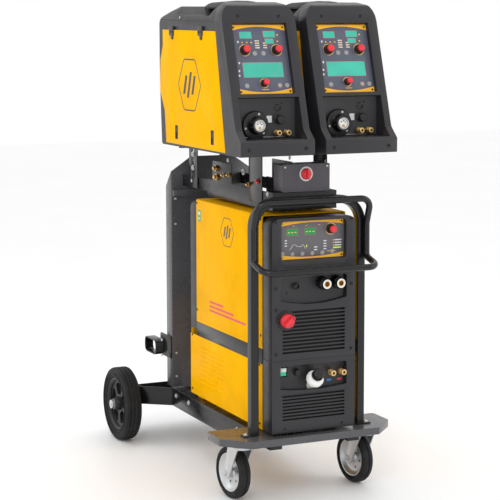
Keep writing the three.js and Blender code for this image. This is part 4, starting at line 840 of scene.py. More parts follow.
def caster(word, side):
    """A caster's tyre on a dished disc with six holes shown as dark discs of painted shade, its axle nuts and
    its swivel race.
    """
    node = f"caster_rim_{word}"
    tyre, rim, plate = Box(f"caster_tyre_{word}"), Box(node), Box(f"caster_plate_{word}")
    turned = math.radians(CASTER_TURN)
    place = along(tyre.mid, Vector((math.cos(turned), math.sin(turned), 0)) * side)
    body, outer, half, inner = body_of(f"caster_tyre_{word}"), tyre.size.z / 2, 20, rim.size.z / 2 + 0.3
    Maker(place).lathe(tyre_profile(inner, outer, half, (0,)), steps=72, closed=True).done(
        f"caster_tyre_{word}_tread", "rubber", body, [f"caster_tyre_{word}"])
    seat = inner - 0.4
    face = [(7, 19.4), (15, 19.4), (15, 10), (18, 5.5), (24, 3.6), (43, 3.6), (49, 6.5), (seat - 4, 15.2),
            (seat - 1, 16), (seat, 14.5)]
    Maker(place).lathe(face + [(r, -z) for r, z in reversed(face)], steps=64, closed=True).done(
        f"{node}_disc", "zinc", body, [node])
    # Dark discs on both faces stand for the holes: painted shade.
    holes = Maker(place)
    for x, y in arc(0, 0, 33, 12, 372, 6)[:-1]:
        for z in (3.3, -3.9):
            holes.lathe([(0, z), (3.6, z), (3.6, z + 0.6), (0, z + 0.6)], (x, y, 0), 18)
    holes.done(f"{node}_holes", "moulding_dark", body)
    Maker(place).hexagon(0, 0, 28, 15, 5.5).hexagon(0, 0, -33.5, 15, 5.5).done(
        f"caster_axle_nuts_{word}", "zinc", body_of(f"caster_fork_{word}"))
    Maker(facing_up(plate.mid.x, plate.mid.y, plate.low.z)).lathe(
        [(20, 3), (31, 3), (33.5, 6), (33.5, 13), (31, 16), (20, 16)], steps=48, closed=True).done(
        f"caster_race_{word}", "zinc")


def wheels():
    for word, side in SIDES.items():
        rear_wheel(word, side)
        caster(word, side)


# ---- Cooler ------------------------------------------------------------------------------------------

def filler():
    """The coolant tank's elbow and its ribbed lid, both leaning forwards."""
    cap = Box("filler_cap")
    rise, tall, radius = math.radians(39), 20, cap.size.x / 2
    out = Vector((0, -math.cos(rise), math.sin(rise)))
    place = along(cap.mid - out * tall / 2, out)
    Maker(place).lathe([(0, -36), (10, -36), (21, -31), (26, -24), (26.5, -14), (23, -7), (17, -3),
                        (13.2, -2.4), (13.2, -0.4), (0, -0.4)], steps=56).done(
        "filler_elbow", "white_plastic")
    Maker(place).lathe([(0, 5), (13.5, 5), (13.5, 0), (radius, 0), (radius, tall - 5),
                        (radius - 0.8, tall - 3.4), (radius - 2.4, tall - 3), (radius - 3.2, tall - 0.8),
                        (radius - 4.4, tall), (0, tall)], steps=96, ribs=24, rib=1.1).done(
        "filler_cap_lid", "black_gloss", body_of("filler_cap"), ["filler_cap"])


def rocker_switch(recess_back):
    """A rocker in two halves, the lower one green, inside a raised surround."""
    node = "cooler_rocker_switch"
    rocker = Box(node)
    width, tall, proud = rocker.size.x - 1, rocker.size.z / 2 - 1.4, rocker.size.y / 2
    for part, way, finish, dip, stands_for in (("upper", 1, "white_plastic", 1.2, [node]),
                                               ("lower", -1, "lamp_green", 2.6, [])):
        slabs(f"rocker_half_{part}", facing_front(*rocker.mid),
              [rect(width, tall, 1.2, 0, way * (rocker.size.z / 4 - 0.6))], finish, proud - dip, -4.5, 1.2,
              body_of(node), stands_for)
    Maker(facing_front(rocker.mid.x, recess_back, rocker.mid.z)).border(
        rect(31, 37, 3), rect(24.4, 30.6, 2), 0, 1.6).done("rocker_surround", "black_gloss")


def cooler_sockets(recess_back, top):
    """The fuse holder, the two couplings and their colour marks."""
    fuse = Maker(along((-49, recess_back, top - 41), -REAR))
    fuse.lathe([(0, 0), (11, 0), (11, 3), (9.4, 4), (9.4, 13), (8.4, 14.5), (0, 14.5)], steps=60, ribs=12,
               rib=0.8)
    fuse.slab(rect(11, 2, 0.5), 14.2, 15.2, 0.3).done("fuse_holder", "black_gloss")
    for i, (x, flow) in enumerate(((66, "blue"), (101.5, "red"))):
        coupling(f"coolant_coupling_{i + 1}", along((x, recess_back, top - 51), -REAR), 9, 25)
        slabs(f"coolant_mark_{flow}", facing_front(0, recess_back, 0), [rect(15, 6, 1, x - 4, top - 75)],
              f"film_{flow}", mm("film"))


def louvres(case):
    """Pressed louvres in both sides of the cooler's case, towards the rear."""
    rows, row_pitch, columns, column_pitch = 9, 15, 3, 66
    for word, side in SIDES.items():
        made = Maker(facing_side(side, side * case.high.x, 0, 0))
        for i in range(rows):
            for k in range(columns):
                outline = rect(56, 5.4, 2.6, side * (case.high.y - 110 - k * column_pitch),
                               case.low.z + 62 + i * row_pitch)
                made.skin([made.ring([(x, y, z) for x, y in (shrink(outline, inset) if inset else outline)])
                           for inset, z in ((0, -0.2), (1.0, 1.1), (2.0, 1.7))])
        made.done(f"cooler_louvres_{word}", "panel_yellow")


def cooler():
    edge, screw = mm("sheet_edge"), mm("screw")
    soften_all((
        ("panel_yellow", edge, "cooler_case"),
        ("moulding", mm("moulded_edge"), "cooler_front_bezel"),
        ("aluminium", edge, "coolant_pump"),
        ("white_plastic", 0.8, "coolant_tank"),
    ))
    bezel, case = Box("cooler_front_bezel"), Box("cooler_case")
    front, recess_back = facing_front(0, bezel.low.y, bezel.low.z), bezel.low.y + RECESS
    screws("cooler_bezel_screws", front, [(x, 13, 0) for x in (-96, 96)], screw * 0.9)
    filler()
    rocker_switch(recess_back)
    cooler_sockets(recess_back, bezel.high.z)
    slabs("cooler_recess_lip", front, [rect(216, 1.6, 0.7, 0, bezel.size.z - 105)], "moulding", 1.4, -0.4,
          0.5)
    # A dark sheet behind the grille: painted shade.
    slabs("cooler_grille_screen", facing_front(0, bezel.low.y + GRILLE, 0),
          [rect(236, 98, 3, 0, bezel.low.z + 75)], "moulding_dark", 0, -2)
    louvres(case)
    for word, side in SIDES.items():
        screws(f"cooler_case_screws_{word}", facing_side(side, side * case.high.x, 0, 0),
               [(side * y, z, 0) for y in (case.low.y + 16, case.high.y - 16)
                for z in (case.low.z + 30, case.high.z - 22)], screw * 0.8)


# ---- Power source ------------------------------------------------------------------------------------

def power_panel():
    """The power source's control film with its windows, lamps, marks and keys."""
    panel, thick = Box("power_control_panel"), mm("film")
    face = facing_front(panel.mid.x, panel.low.y, panel.low.z)
    half, high = panel.size.x / 2, panel.size.z
    slabs("power_panel_film", face, [rect(2 * half, high, 9, 0, high / 2)], "keypad_dark", 0,
          -panel.size.y, 0.2, replaces=["power_control_panel"])
    panel_strips("power_panel_strips", face, half - 3, high, 2.5, 4.5, 14)
    screws("power_panel_screws", face, [(x, y, thick) for x in (8 - half, half - 8) for y in (8, high - 8)],
           mm("screw") * 0.55)
    windows = [(x, high - 34) for x in (-65, -6)]
    slabs("power_window_frames", face, [rect(41, 24.5, 1.5, x, y) for x, y in windows], "keypad_line", thick)
    slabs("power_windows", face, [rect(38, 21.5, 1, x, y) for x, y in windows], "digit_window", thick * 2)
    slabs("power_window_digits", face,
          [rect(6, 1.8, 0.5, x + shift, y - 1) for x, y in windows for shift in (-11, 0, 11)],
          "digit_bar", thick * 2.6)
    slabs("power_panel_lamps", face,
          [rect(4, 5, 1, 4 - half, 26 + k * 8.2) for k in range(5)]
          + [rect(27, 3.4, 1, 85, high - 87.5), rect(3, 7, 1, -17, 40)], "lamp_lime", thick * 2)
    marks, ambers, keys = Maker(face), Maker(face), Maker(face)
    for x, low, count, wide in ((-86, 43, 3, 8), (13, 27, 2, 11), (44, 28, 4, 10), (88, 37, 3, 22)):
        for k in range(count):
            marks.slab(rect(wide, 3.2, 1, x, low + k * 8), 0, thick * 1.6)
    curve = ((-74, 30), (-68, 36), (-62, 45), (-54, 45), (-48, 39), (-36, 39), (-30, 45), (-24, 38),
             (-20, 32))
    marks.tube([(x, y, thick) for x, y in curve], 0.7, 8).done("power_panel_marks", "film_white")
    for k in range(3):
        ambers.slab(rect(4, 3.2, 1, 73, 37 + k * 8), 0, thick * 1.6)
        ambers.slab(rect(7, 1.6, 0.6, -60 + 42 * k, high - 16), 0, thick * 1.4)
        ambers.slab(rect(9, 1.8, 0.6, 38 + 18 * k, 21), 0, thick * 1.4)
    ambers.done("power_panel_ambers", "lamp_amber")
    for k, y in enumerate((19.5, 16.7, 16.7, 16.7, 16.7, 19.5)):
        keys.lathe([(0, 0), (6.6, 0), (6.6, 0.7), (5.4, 1.1), (3.6, 0.9), (0, 1.3)], (-97 + 33 * k, y, 0), 32)
    keys.done("power_panel_keys", "key_grey")

    knob("encoder", "encoder_knob", -REAR, 15.5, 10.5, 9)
    dial = Box("encoder_knob").mid
    Maker(facing_front(dial.x, panel.low.y, dial.z)).lathe(
        [(15.8, 0), (18.2, 0), (18.2, 0.25), (15.8, 0.25)], steps=56, closed=True).done(
        "encoder_ring", "brass")


def main_switch(bezel):
    """A round ribbed switch with a bar grip that lies aslant, and a dot at its pointing end."""
    node = "main_switch_knob"
    switch, body = Box(node), body_of(node)
    radius, depth = switch.size.x / 2, switch.size.y
    slant = Matrix.Rotation(math.radians(-45), 4, "Z")
    place = facing_front(switch.mid.x, switch.high.y, switch.mid.z) @ slant
    disc = Maker(place).lathe([(0, 0), (radius, 0), (radius, depth * 0.38), (radius - 1.4, depth * 0.47),
                               (0, depth * 0.5)], steps=96, ribs=20, rib=0.7)
    disc.slab(rect(11, 2 * radius - 3, 5), depth * 0.3, depth, 1.6).done(
        "main_switch_grip", "knob_red", body, [node])
    Maker(place).lathe([(0, depth - 0.4), (2.6, depth - 0.4), (2.6, depth + 0.2), (0, depth + 0.2)],
                       (0, radius * 0.62, 0), 20).done("main_switch_dot", "moulding_dark", body)
    Maker(facing_front(switch.mid.x, bezel.low.y, switch.mid.z)).lathe(
        [(22.6, -0.2), (28.6, -0.2), (28.6, 0.3), (22.6, 0.3)], steps=64, closed=True).done(
        "main_switch_plate", "black_gloss")


def welding_socket(word):
    """A bayonet socket: ridged black body, pale ring and brass contact."""
    node = f"welding_socket_{word}"
    box = Box(node)
    r, deep = box.size.x / 2, box.size.y
    place = along((box.mid.x, box.high.y, box.mid.z), -REAR)
    Maker(place).lathe([(7.2, 14), (7.2, 0), (r, 0), (r, deep * 0.42), (r - 1.2, deep * 0.47),
                        (r - 1.2, deep * 0.74), (r - 3, deep * 0.8), (r - 3.2, deep - 2), (r - 4, deep - 0.6),
                        (14.2, deep - 0.6), (14.2, deep - 4), (7.2, deep - 4)], steps=72, closed=True).done(
        f"{node}_body", "black_gloss", "cart", [node])
    Maker(place).lathe([(9.6, deep - 5), (14.0, deep - 5), (14.0, deep - 0.4), (12.8, deep), (9.6, deep)],
                       steps=56, closed=True).done(f"{node}_ring", "white_plastic")
    contact = Maker(place).lathe([(7.2, 10), (9.4, 10), (9.4, deep - 0.8), (7.2, deep - 0.8)], steps=48,
                                 closed=True)
    contact.lathe([(0, 2), (7.1, 2), (7.1, 12), (0, 12)], steps=32).done(f"{node}_contact", "brass")


def power_front(bezel, front_y, screw):
    """The front moulding's screws, a dark sheet of painted shade behind the grille and the fittings between
    the sockets.
    """
    places = ((-126, -9), (126, -9), (-126, -207), (126, -207), (-126, -271), (-126, -405), (126, -405))
    screws("power_bezel_screws", facing_front(0, front_y, bezel.high.z), [(*place, 0) for place in places],
           screw)
    # A dark sheet behind the grille: painted shade.
    slabs("power_grille_screen", facing_front(0, front_y + GRILLE, 0),
          [rect(260, 150, 3, 0, bezel.low.z + 92)], "moulding_dark", 0, -2)
    back, z = front_y + RECESS, Box("welding_socket_negative").mid.z
    Maker(along((-50, back, z - 5), -REAR)).lathe(
        [(0, 0), (11, 0), (11, 2), (9.2, 3), (9.2, 9), (7.6, 9.6), (7.6, 4), (0, 4)], steps=56).done(
        "control_connector", "black_gloss")
    Maker(facing_front(0, back, z)).lathe([(0, 0), (4, 0), (4, 1), (3, 1.4), (0, 1.4)], (-78, -25, 0),
                                          24).done("socket_tray_screws", "black_gloss")


def power_sides(cover, screw):
    """Screws, the made-up mark and three stripes on both sides, and a small label on the left one."""
    thick = mm("film")
    for word, side in SIDES.items():
        face = facing_side(side, side * cover.high.x, 0, 0)
        screws(f"power_cover_screws_{word}", face,
               [(side * y, z, 0) for y in (cover.high.y - 6, cover.low.y + 8)
                for z in (cover.high.z - 12, cover.low.z + 40)], screw * 0.8)
        emblem(f"power_emblem_{word}",
               facing_side(side, side * cover.high.x, cover.mid.y + 4, cover.low.z + 322), 52, "cart")
        slabs(f"power_stripes_{word}", face,
              [rect(wide, 7, 3, side * (cover.high.y - 109 - wide / 2), cover.low.z + 54 + k * 14)
               for k, wide in enumerate((280, 190, 110))], "film_red", thick)
    face, y, z = facing_side(-1, cover.low.x, 0, 0), cover.high.y - 27, cover.high.z - 52
    slabs("side_label", face, [rect(22, 38, 5, -y, z)], "film_green", thick)
    slabs("side_label_fields", face, [rect(15, 10, 3, -y, z + 8), rect(15, 5, 2, -y, z - 9)], "film_white",
          thick * 1.6)


def power_rear(screw):
    """The rating plate with plain lines, and the rear moulding's screws."""
    case, rear, thick = Box("cooler_case"), Box("power_rear_bezel"), mm("film")
    face = facing_rear(0, case.high.y, 0)
    slabs("rating_plate", face, [rect(120, 70, 3, 0, case.low.z + 110)], "aluminium", thick)
    slabs("rating_plate_lines", face,
          [rect(100 - 14 * (k % 3), 2, 0.6, -3 * (k % 2), case.low.z + 135 - 9 * k) for k in range(6)],
          "film_black", thick * 1.5)
    screws("rear_bezel_screws", facing_rear(0, rear.high.y - 18, 0),
           [(x, z, 0) for x in (-126, 126) for z in (rear.low.z + 20, rear.mid.z, rear.high.z - 12)], screw)


def power_source():
    edge, screw = mm("sheet_edge"), mm("screw")
    soften_all((
        ("panel_yellow", edge, "power_cover"),
        ("frame_black", edge, "power_base"),
        ("moulding", mm("moulded_edge"), "power_front_bezel power_rear_bezel"),
        ("aluminium", 0.5, "power_module"),
        ("moulding_dark", 0.5, "cooling_fan"),
    ))
    bezel = Box("power_front_bezel")
    power_front(bezel, Box("cooler_front_bezel").low.y, screw)
    power_panel()
    main_switch(bezel)
    for word in ("negative", "positive"):
        welding_socket(word)
    power_sides(Box("power_cover"), screw)
    power_rear(screw)


# ---- Carrier for the feeders -------------------------------------------------------------------------

def selector(front_y):
    """The selector: a ribbed red knob with a bar grip over a pale dial ring."""
    node = Box("selector_knob")
    depth = node.size.y
    turn = Maker(facing_front(node.mid.x, node.high.y, node.mid.z))
    turn.lathe([(0, 0), (16.4, 0), (16.4, 3.4), (14.8, 5.4), (12.4, 6.2), (12.4, depth * 0.55),
                (11.4, depth * 0.6), (0, depth * 0.6)], steps=80, ribs=20, rib=0.5)
    turn.slab(rect(8, 31, 3), depth * 0.25, depth, 1.2).done(
        "selector_grip", "knob_red", body_of("selector_knob"), ["selector_knob"])
    Maker(facing_front(node.mid.x, front_y, node.mid.z)).lathe(
        [(17.4, 0), (22, 0), (22, 0.3), (17.4, 0.3)], steps=56, closed=True).done(
        "selector_dial", "film_white")


def hose_plate(word, side):
    """The fittings on one side of the carrier's base, placed from its low front corner."""
    base, rack, bolt = Box("carrier_base"), Box("feeder_rack"), mm("bolt")
    place = facing_side(side, side * base.high.x, 0, 0)

    def at(y, z):
        return side * (base.low.y + y), base.low.z + z

    fittings = Maker(place)
    for y, z, across in ((416.7, 96, 19), (412.7, 68, 20), (352.7, 79, 13), (310.7, 83, 13), (161.7, 66, 12)):
        fittings.hexagon(*at(y, z), 0, across, 7, across * 0.3)
        fittings.lathe([(0, 6), (across * 0.36, 6), (across * 0.36, 13), (across * 0.28, 14.5), (0, 14.5)],
                       (*at(y, z), 0), 28)
    fittings.done(f"hose_fittings_{word}", "brass")
    small = Maker(place)
    for y, z, share in ((326.7, 128, 0.7), (33.7, 48, 0.7), (622.7, 38, 0.8)):
        small.screw(*at(y, z), 0, bolt * share, washer=True)
    small.lathe([(6, 0), (9, 0), (9, 4), (6, 4)], (*at(205, 101), 0), 32, closed=True)
    small.slab(rect(5, 38, 2, *at(76, 122)), 0, 1.2, 0.5).done(f"carrier_bolts_{word}", "zinc")
    caps = Maker(place)
    for y, z in ((89, 78), (97, 84)):
        caps.lathe([(0, 0), (4, 0), (4, 11), (3, 12.5), (0, 12.5)], (*at(y, z), 0), 24)
    caps.done(f"hose_caps_{word}", "film_red")
    screws(f"upright_bolts_{word}", facing_side(side, side * (base.high.x + 3.2), 0, 0),
           [(side * (rack.high.y - 35), base.low.z + rise, 0) for rise in (82, 127)], bolt * 0.9, "zinc",
           washer=True)


def carrier():
    edge, box = mm("sheet_edge"), Box("switch_box")
    soften_all((
        ("frame_black", edge, "carrier_base feeder_rack"),
        ("box_grey", edge * 2, "switch_box"),
    ))
    screws("switch_box_screws", facing_front(0, box.low.y, 0), [(x, box.high.z - 8, 0) for x in (-70, 70)],
           mm("screw") * 0.8, "nickel")
    selector(box.low.y)
    for word, side in SIDES.items():
        hose_plate(word, side)


# ---- Wire feeders ------------------------------------------------------------------------------------

def feeder_panel(name):
    """A feeder's leaning control film with its screens, marks, keys, knobs and brow screws."""
    panel, screw, thick, film_depth = Box(f"{name}_control_panel"), mm("screw"), mm("film"), 2.7
    up = Vector((0, math.sin(PANEL_LEAN), math.cos(PANEL_LEAN)))
    out, drop = RIGHT.cross(up), film_depth * math.sin(PANEL_LEAN)
    face = board((panel.mid.x, panel.low.y, panel.low.z + drop), RIGHT, up)
    half, high = panel.size.x / 2, (panel.size.z - drop) / math.cos(PANEL_LEAN)
    slabs(f"{name}_panel_film", face, [rect(2 * half, high, 2, 0, high / 2)], "keypad", 0, -film_depth, 0.15,
          replaces=[f"{name}_control_panel"])
    panel_strips(f"{name}_panel_strips", face, half - 1, high, 1, 6, 18)
    screws(f"{name}_panel_screws", face,
           [(x, y, thick) for x in (8 - half, half - 8) for y in (9, high - 9)], screw * 0.6)
    windows = [((x1 - x0) * 2 * half, (y1 - y0) * high, (x0 + x1 - 1) * half, (y0 + y1) / 2 * high)
               for x0, x1, y0, y1 in ((0.14, 0.36, 0.80, 0.895), (0.58, 0.80, 0.815, 0.905),
                                      (0.60, 0.76, 0.725, 0.795), (0.13, 0.87, 0.245, 0.455))]
    slabs(f"{name}_screen_frames", face, [rect(wide + 3, tall + 3, 2, x, y) for wide, tall, x, y in windows],
          "keypad_line", thick)
    slabs(f"{name}_screens", face, [rect(wide, tall, 1.2, x, y) for wide, tall, x, y in windows], "lcd",
          thick * 2)
    marks, ambers, keys = Maker(face), Maker(face), Maker(face)
    for x, low, count, wide in ((-9, 142, 4, 14), (16, 142, 3, 12)):
        for k in range(count):
            marks.slab(rect(wide, 3.4, 1.2, x, low + 7 * k), 0, thick * 1.6)
            ambers.slab(rect(4, 3.4, 1.2, x + (2 if k % 2 else -2), low + 7 * k), 0, thick * 2)
    for x, y in ((-70, 160), (-74, 96), (-77, 72), (-78, 58)):
        marks.slab(rect(5, 6, 1.5, x, y), 0, thick * 1.6)
    for radius, places in ((2.6, ((-57, 158), (-42, 158), (-27, 158))), (2.8, ((60, 181), (58, 161)))):
        for x, y in places:
            ambers.lathe([(0, 0), (radius, 0), (radius - 0.4, 1.0), (0, 1.3)], (x, y, 0), 20)
    for x, y in ((-20, 125), (8, 125), (-58, 27), (48, 27), (72, 27)):
        keys.lathe([(0, 0), (7, 0), (7, 0.7), (5.6, 1.1), (3.8, 0.9), (0, 1.4)], (x, y, 0), 36)
    ambers.lathe([(0, 1), (2.4, 1), (2.0, 1.9), (0, 2)], (48, 27, 0), 20)
    ambers.slab(rect(22, 2, 0.8, 0, 15), 0, thick * 2)
    marks.done(f"{name}_panel_marks", "film_white")
    ambers.done(f"{name}_panel_ambers", "lamp_amber")
    keys.done(f"{name}_panel_keys", "key_grey")
    for which, radius, cap in (("left", 15.5, 10.5), ("right", 15.5, 10.5), ("lower", 12, 8.5)):
        node = f"{name}_{which}_knob"
        low, wide = radius + 0.3, radius + 2.6
        Maker(knob(node, node, out, radius, cap, 9)).lathe(
            [(low, -0.3), (wide, -0.3), (wide, 0), (low, 0)], steps=56, closed=True).done(
            f"{node}_ring", "brass")
    screws(f"{name}_brow_screws", board(face @ Vector((0, 0, 14)), RIGHT, up),
           [(x, high + 22, -0.6) for x in (-66, 66)], screw)


def torch_connector(name, back):
    """The central connector: flange with three screws, nickel ring, pale face, holes shown as dark discs of
    painted shade, and gas pin.
    """
    x, y = -32, 86
    Maker(back).lathe([(0, 0), (42, 0), (42, 5), (40, 7.5), (27, 8.5), (24.5, 11), (23.5, 34), (22, 36),
                       (18, 36), (18, 26), (0, 26)], (x, y, 0), 72).done(
        f"{name}_torch_flange", "black_gloss")
    rings = Maker(back).lathe([(11.5, 25), (17.8, 25), (17.8, 36.5), (16.6, 37.5), (14, 37.5), (13, 30),
                               (11.5, 30)], (x, y, 0), 64, closed=True)
    for screw_x, screw_y in arc(x, y, 34, 75, 315, 2):
        rings.screw(screw_x, screw_y, 7.4, 4.4)
    rings.done(f"{name}_torch_ring", "nickel")
    Maker(back).lathe([(0, 26), (13.2, 26), (13.2, 33), (12.4, 33.6), (0, 33.6)], (x, y, 0), 48).done(
        f"{name}_torch_face", "white_plastic")
    # Dark discs of painted shade stand for the contact holes.
    holes = Maker(back)
    for hole_x, hole_y in ((-38, 91), (-31, 94), (-26, 90)):
        holes.lathe([(0, 33), (1.9, 33), (1.9, 34), (0, 34)], (hole_x, hole_y, 0), 16)
    holes.done(f"{name}_torch_holes", "moulding_dark")
    Maker(back).lathe([(1.6, 32), (4.2, 32), (4.2, 36), (3.6, 36.6), (1.6, 36.6)], (x, y - 6, 0), 24,
                      closed=True).done(f"{name}_torch_pin", "brass")


def feeder_front(name):
    """The fittings in the recess under the control panel, and the bumper's screws."""
    bezel, thick = Box(f"{name}_front_bezel"), mm("film")
    screws(f"{name}_bumper_screws", facing_front(bezel.mid.x, bezel.low.y, bezel.low.z),
           [(x, 20, 0) for x in (-92, 92)], mm("screw") * 1.1)
    back = facing_front(bezel.mid.x, bezel.low.y + 92, bezel.low.z)
    torch_connector(name, back)
    cover = Maker(back)
    cover.lathe([(0, 0), (10.5, 0), (10.5, 2), (9, 3), (0, 3.4)], (40, 136, 0)).screw(55, 148, 0, 3)
    cover.lathe([(0, 0), (15, 0), (15, 4), (12.6, 5), (12.6, 17), (11, 19), (0, 19)], (45, 102, 0), 80,
                ribs=16, rib=0.9).done(f"{name}_recess_knobs", "black_gloss")
    tag = Maker(back).slab(rect(17, 20, 1.5, 14, 103), 0, thick)
    tag.slab(rect(150, 3.2, 1.4, -8, 49.8), 0, 1.6, 0.6).done(f"{name}_recess_tag", "aluminium")
    for i, x in enumerate((37, 68)):
        coupling(f"{name}_coupling_{i + 1}", back @ Matrix.Translation((x, 63, 0)), 8.5, 25)
    slabs(f"{name}_coupling_mark", back, [rect(9, 5, 1, 52, 51.5)], "film_blue", thick * 2)


def feeder_housing(name):
    """The cap's seam and stud on the housing's left side, and the rubber feet."""
    housing = Box(f"{name}_housing")
    face, z = facing_side(-1, housing.low.x, 0, 0), housing.high.z - 59
    front, rear = 88 + housing.low.y, housing.high.y - 12
    slabs(f"{name}_cap_seam", face, [[(-rear, z + 3), (-front, z - 4), (-front, z - 2.4), (-rear, z + 4.6)]],
          "moulding_dark", 0.35, -0.3)
    screws(f"{name}_cap_stud", face, [(-(housing.mid.y + 90), z + 9, 0)], 4, "nickel")
    feet = Maker(facing_up(housing.mid.x, 0, housing.low.z))
    for x in (-95, 95):
        for y in (61.1, 381.1):
            feet.lathe([(0, 0), (15.5, 0), (15.5, 3.4), (13, 4.6), (0, 4.6)], (x, housing.low.y + y, 0), 36)
    feet.done(f"{name}_rubber_feet", "rubber")


def feeder_door(name):
    """The door's hinges, made-up mark and sunk latches, all of which swing with it."""
    door, body = Box(f"{name}_door"), body_of(f"{name}_door")
    skin_x, top = door.low.x + 4.2, door.high.z
    for i, y in enumerate((183.2, 415.2)):
        at = -(door.low.y + y)
        leaf = Maker(facing_side(-1, skin_x, 0, 0)).slab(rect(39, 28, 5, at, top - 14.5), -3, 2.2, 0.8)
        leaf.slab(rect(19, 22, 8, at + 6, top - 30), 0, 2.4, 0.8)
        for x in (-10, 10):
            leaf.screw(at + x, top - 17, 2.2, 3)
        leaf.done(f"{name}_hinge_leaf_{i + 1}", "black_gloss", body)
        Maker(along((door.low.x + 3.6, door.low.y + y - 17, top - 3.6), REAR)).lathe(
            [(0, -1.6), (3.9, -1.6), (3.9, 35.6), (0, 35.6)], steps=24).done(
            f"{name}_hinge_barrel_{i + 1}", "black_gloss", body)
    emblem(f"{name}_emblem", facing_side(-1, skin_x, door.mid.y + 12, door.low.z + 190), 92, body)
    latches = Maker(facing_side(-1, skin_x + 1.6, 0, 0))
    for y in (97.2, 381.2):
        x, z = -(door.low.y + y), door.low.z + 39
        latches.border(rect(22.6, 43.6, 1.5, x, z), rect(17, 38, 1.5, x, z), -1.2, 1.4)
        latches.slab(rect(15, 16, 1, x, z + 8), -1.2, 0.8, 0.5)
        latches.slab(rect(22.2, 43.2, 1.5, x, z), -1.3, -1.0)
    latches.done(f"{name}_door_latches", "black_gloss", body)


def wire_spool(name):
    """A flanged spool and its wound wire, whose outer turns show one by one."""
    node = f"{name}_wire_spool"
    spool, body = Box(node), body_of(node)
    place = along((spool.low.x, spool.mid.y, spool.mid.z), RIGHT)
    width, rim, core, wound, turns = spool.size.x, spool.size.z / 2, 52, 126, 22
    Maker(place).lathe([(27.2, 0), (34, 0), (34, 2.4), (rim - 6, 2.4), (rim - 5, 0), (rim, 0), (rim, 3),
                        (core, 3.4), (core, width - 3.4), (rim, width - 3), (rim, width), (27.2, width)],
                       steps=96, closed=True).done(f"{name}_spool_body", "black_gloss", body, [node])
    pitch = (width - 8) / turns
    profile = [(core + 0.4, 4.2)]
    for k in range(turns):
        for angle in (math.pi * i / 4 for i in range(5)):
            across = 4 + pitch * (k + 0.5 - 0.5 * math.cos(angle))
            profile.append((wound + pitch * 0.5 * math.sin(angle), across))
    profile.append((core + 0.4, width - 4.2))
    Maker(place).lathe(profile, steps=72, closed=True).done(f"{name}_wire", "copper_wire", body)


def wire_feeder(word):
    edge, name = mm("sheet_edge"), f"feeder_{word}"
    soften_all((
        ("moulding", mm("moulded_edge"), f"{name}_housing {name}_front_bezel"),
        ("panel_yellow", edge, f"{name}_door"),
        ("aluminium", edge, f"{name}_drive_unit"),
    ))
    feeder_panel(name)
    feeder_front(name)
    feeder_housing(name)
    feeder_door(name)
    wire_spool(name)


# ---- Stage -------------------------------------------------------------------------------------------

def area_light(name, place, target, width, height, power):
    """A rectangular lamp aimed at a point, in metres and watts."""
    data = bpy.data.lights.new(name, "AREA")
    data.shape, data.size, data.size_y, data.energy = "RECTANGLE", width, height, power
    lamp = bpy.data.objects.new(name, data)
    lamp.location = place
    lamp.rotation_euler = (Vector(target) - Vector(place)).to_track_quat("-Z", "Y").to_euler()
    bpy.context.scene.collection.objects.link(lamp)


def pale_floor(reach=14):
    """A square floor that reaches some metres to each side."""
    mesh = bmesh.new()
    mesh.faces.new([mesh.verts.new((x, y, 0)) for x, y in rect(2 * reach, 2 * reach)])
    data = bpy.data.meshes.new("floor")
    mesh.to_mesh(data)
    mesh.free()
    pale = Finish("floor_pale", (0.93, 0.93, 0.93), 0.5)
    cloud = pale.noise(1.4, 3, 0.5)
    pale.paint(pale.blend(pale.fit(cloud, 0.3, 0.7), (0.965, 0.965, 0.965), (0.985, 0.985, 0.985)))
    pale.gloss(pale.fit(pale.noise(9, 4, 0.6), 0.3, 0.7, 0.44, 0.58))
    data.materials.append(pale.material)
    floor = bpy.data.objects.new("floor", data)
    bpy.context.scene.collection.objects.link(floor)


def white_world(strength=1.0):
    world = bpy.data.worlds.new("studio")
    world.use_nodes = True
    background = world.node_tree.nodes["Background"]
    background.inputs["Color"].default_value = (1, 1, 1, 1)
    background.inputs["Strength"].default_value = strength
    bpy.context.scene.world = world


def front_camera():
    """A long lens in front of the cart and to its left, looking slightly down."""
    place = Vector((-2.14708, -4.74331, 1.42294))
    azimuth, elevation, roll = (math.radians(angle) for angle in (24.4968, -6.5235, -0.086))
    look = Vector((math.sin(azimuth) * math.cos(elevation), math.cos(azimuth) * math.cos(elevation),
                   math.sin(elevation)))
    data = bpy.data.cameras.new("camera")
    data.lens, data.sensor_width = 116.47, 36
    data.shift_y = -0.08
    data.clip_end = 60
    camera = bpy.data.objects.new("camera", data)
    camera.matrix_world = (Matrix.Translation(place) @ look.to_track_quat("-Z", "Y").to_matrix().to_4x4()
                           @ Matrix.Rotation(roll, 4, "Z"))
    bpy.context.scene.collection.objects.link(camera)
    bpy.context.scene.camera = camera


def studio():
    pale_floor()
    white_world()
    area_light("key", (-1.9, -3.0, 3.1), (0, 0, 0.8), 0.35, 2.4, 26)
    area_light("fill", (3.2, -2.2, 1.5), (0, -0.2, 0.7), 0.2, 2.6, 13)
    area_light("rim", (-3.0, 1.6, 2.2), (0, 0, 0.9), 0.3, 2.4, 14)
    area_light("top", (0.2, 0.4, 3.6), (0, 0, 1.0), 1.8, 1.8, 12)
    front_camera()
    bpy.context.scene.view_settings.view_transform = "Standard"


# ---- Add-on ------------------------------------------------------------------------------------------

class CART_OT_trolley(bpy.types.Operator):
    """Finish the trolley's frame, hoop and handle"""
    bl_idname = "cart.trolley"
    bl_label = "Trolley"

    def execute(self, context):
        trolley()
        return {"FINISHED"}


class CART_OT_wheels(bpy.types.Operator):
    """Build the rear wheels and the casters"""
    bl_idname = "cart.wheels"
    bl_label = "Wheels"

    def execute(self, context):
        wheels()
        return {"FINISHED"}


class CART_OT_cooler(bpy.types.Operator):
    """Finish the water cooler and build its fittings"""
    bl_idname = "cart.cooler"
    bl_label = "Water cooler"

    def execute(self, context):
        cooler()
        return {"FINISHED"}


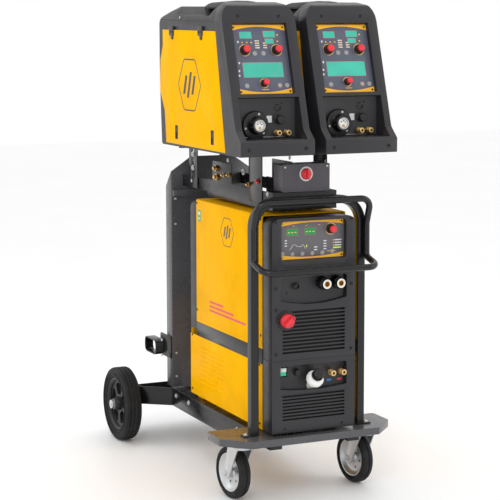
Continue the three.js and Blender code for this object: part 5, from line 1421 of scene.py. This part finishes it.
class CART_OT_power_source(bpy.types.Operator):
    """Finish the power source and build its panel, sockets and switch"""
    bl_idname = "cart.power_source"
    bl_label = "Power source"

    def execute(self, context):
        power_source()
        return {"FINISHED"}


class CART_OT_carrier(bpy.types.Operator):
    """Finish the feeders' carrier and build its hose fittings"""
    bl_idname = "cart.carrier"
    bl_label = "Feeder carrier"

    def execute(self, context):
        carrier()
        return {"FINISHED"}


class CART_OT_feeders(bpy.types.Operator):
    """Finish both wire feeders and build their panels, fittings and spools"""
    bl_idname = "cart.feeders"
    bl_label = "Wire feeders"

    def execute(self, context):
        for word in SIDES:
            wire_feeder(word)
        return {"FINISHED"}


class CART_OT_stage(bpy.types.Operator):
    """Set out the floor, the lights and the camera"""
    bl_idname = "cart.stage"
    bl_label = "Stage"

    def execute(self, context):
        studio()
        return {"FINISHED"}


OPERATORS = (CART_OT_trolley, CART_OT_wheels, CART_OT_cooler, CART_OT_power_source, CART_OT_carrier,
             CART_OT_feeders, CART_OT_stage)


class CART_PT_pieces(bpy.types.Panel):
    """The operators and the values they use"""
    bl_idname = "CART_PT_pieces"
    bl_label = "Welding cart"
    bl_space_type = "VIEW_3D"
    bl_region_type = "UI"
    bl_category = "Welding cart"

    def draw(self, context):
        for group in (context.scene.cart_sizes, context.scene.cart_colours):
            column = self.layout.column(align=True)
            for name in group.__annotations__:
                column.prop(group, name)
        for operator in OPERATORS:
            self.layout.operator(operator.bl_idname)


CLASSES = (CartSizes, CartColours, *OPERATORS, CART_PT_pieces)


def register():
    for cls in CLASSES:
        bpy.utils.register_class(cls)
    bpy.types.Scene.cart_sizes = bpy.props.PointerProperty(type=CartSizes)
    bpy.types.Scene.cart_colours = bpy.props.PointerProperty(type=CartColours)


def unregister():
    del bpy.types.Scene.cart_colours
    del bpy.types.Scene.cart_sizes
    for cls in reversed(CLASSES):
        bpy.utils.unregister_class(cls)


def main():
    register()
    bpy.ops.cart.trolley()
    bpy.ops.cart.wheels()
    bpy.ops.cart.cooler()
    bpy.ops.cart.power_source()
    bpy.ops.cart.carrier()
    bpy.ops.cart.feeders()
    bpy.ops.cart.stage()
    bpy.context.view_layer.update()


if __name__ == "__main__":
    main()
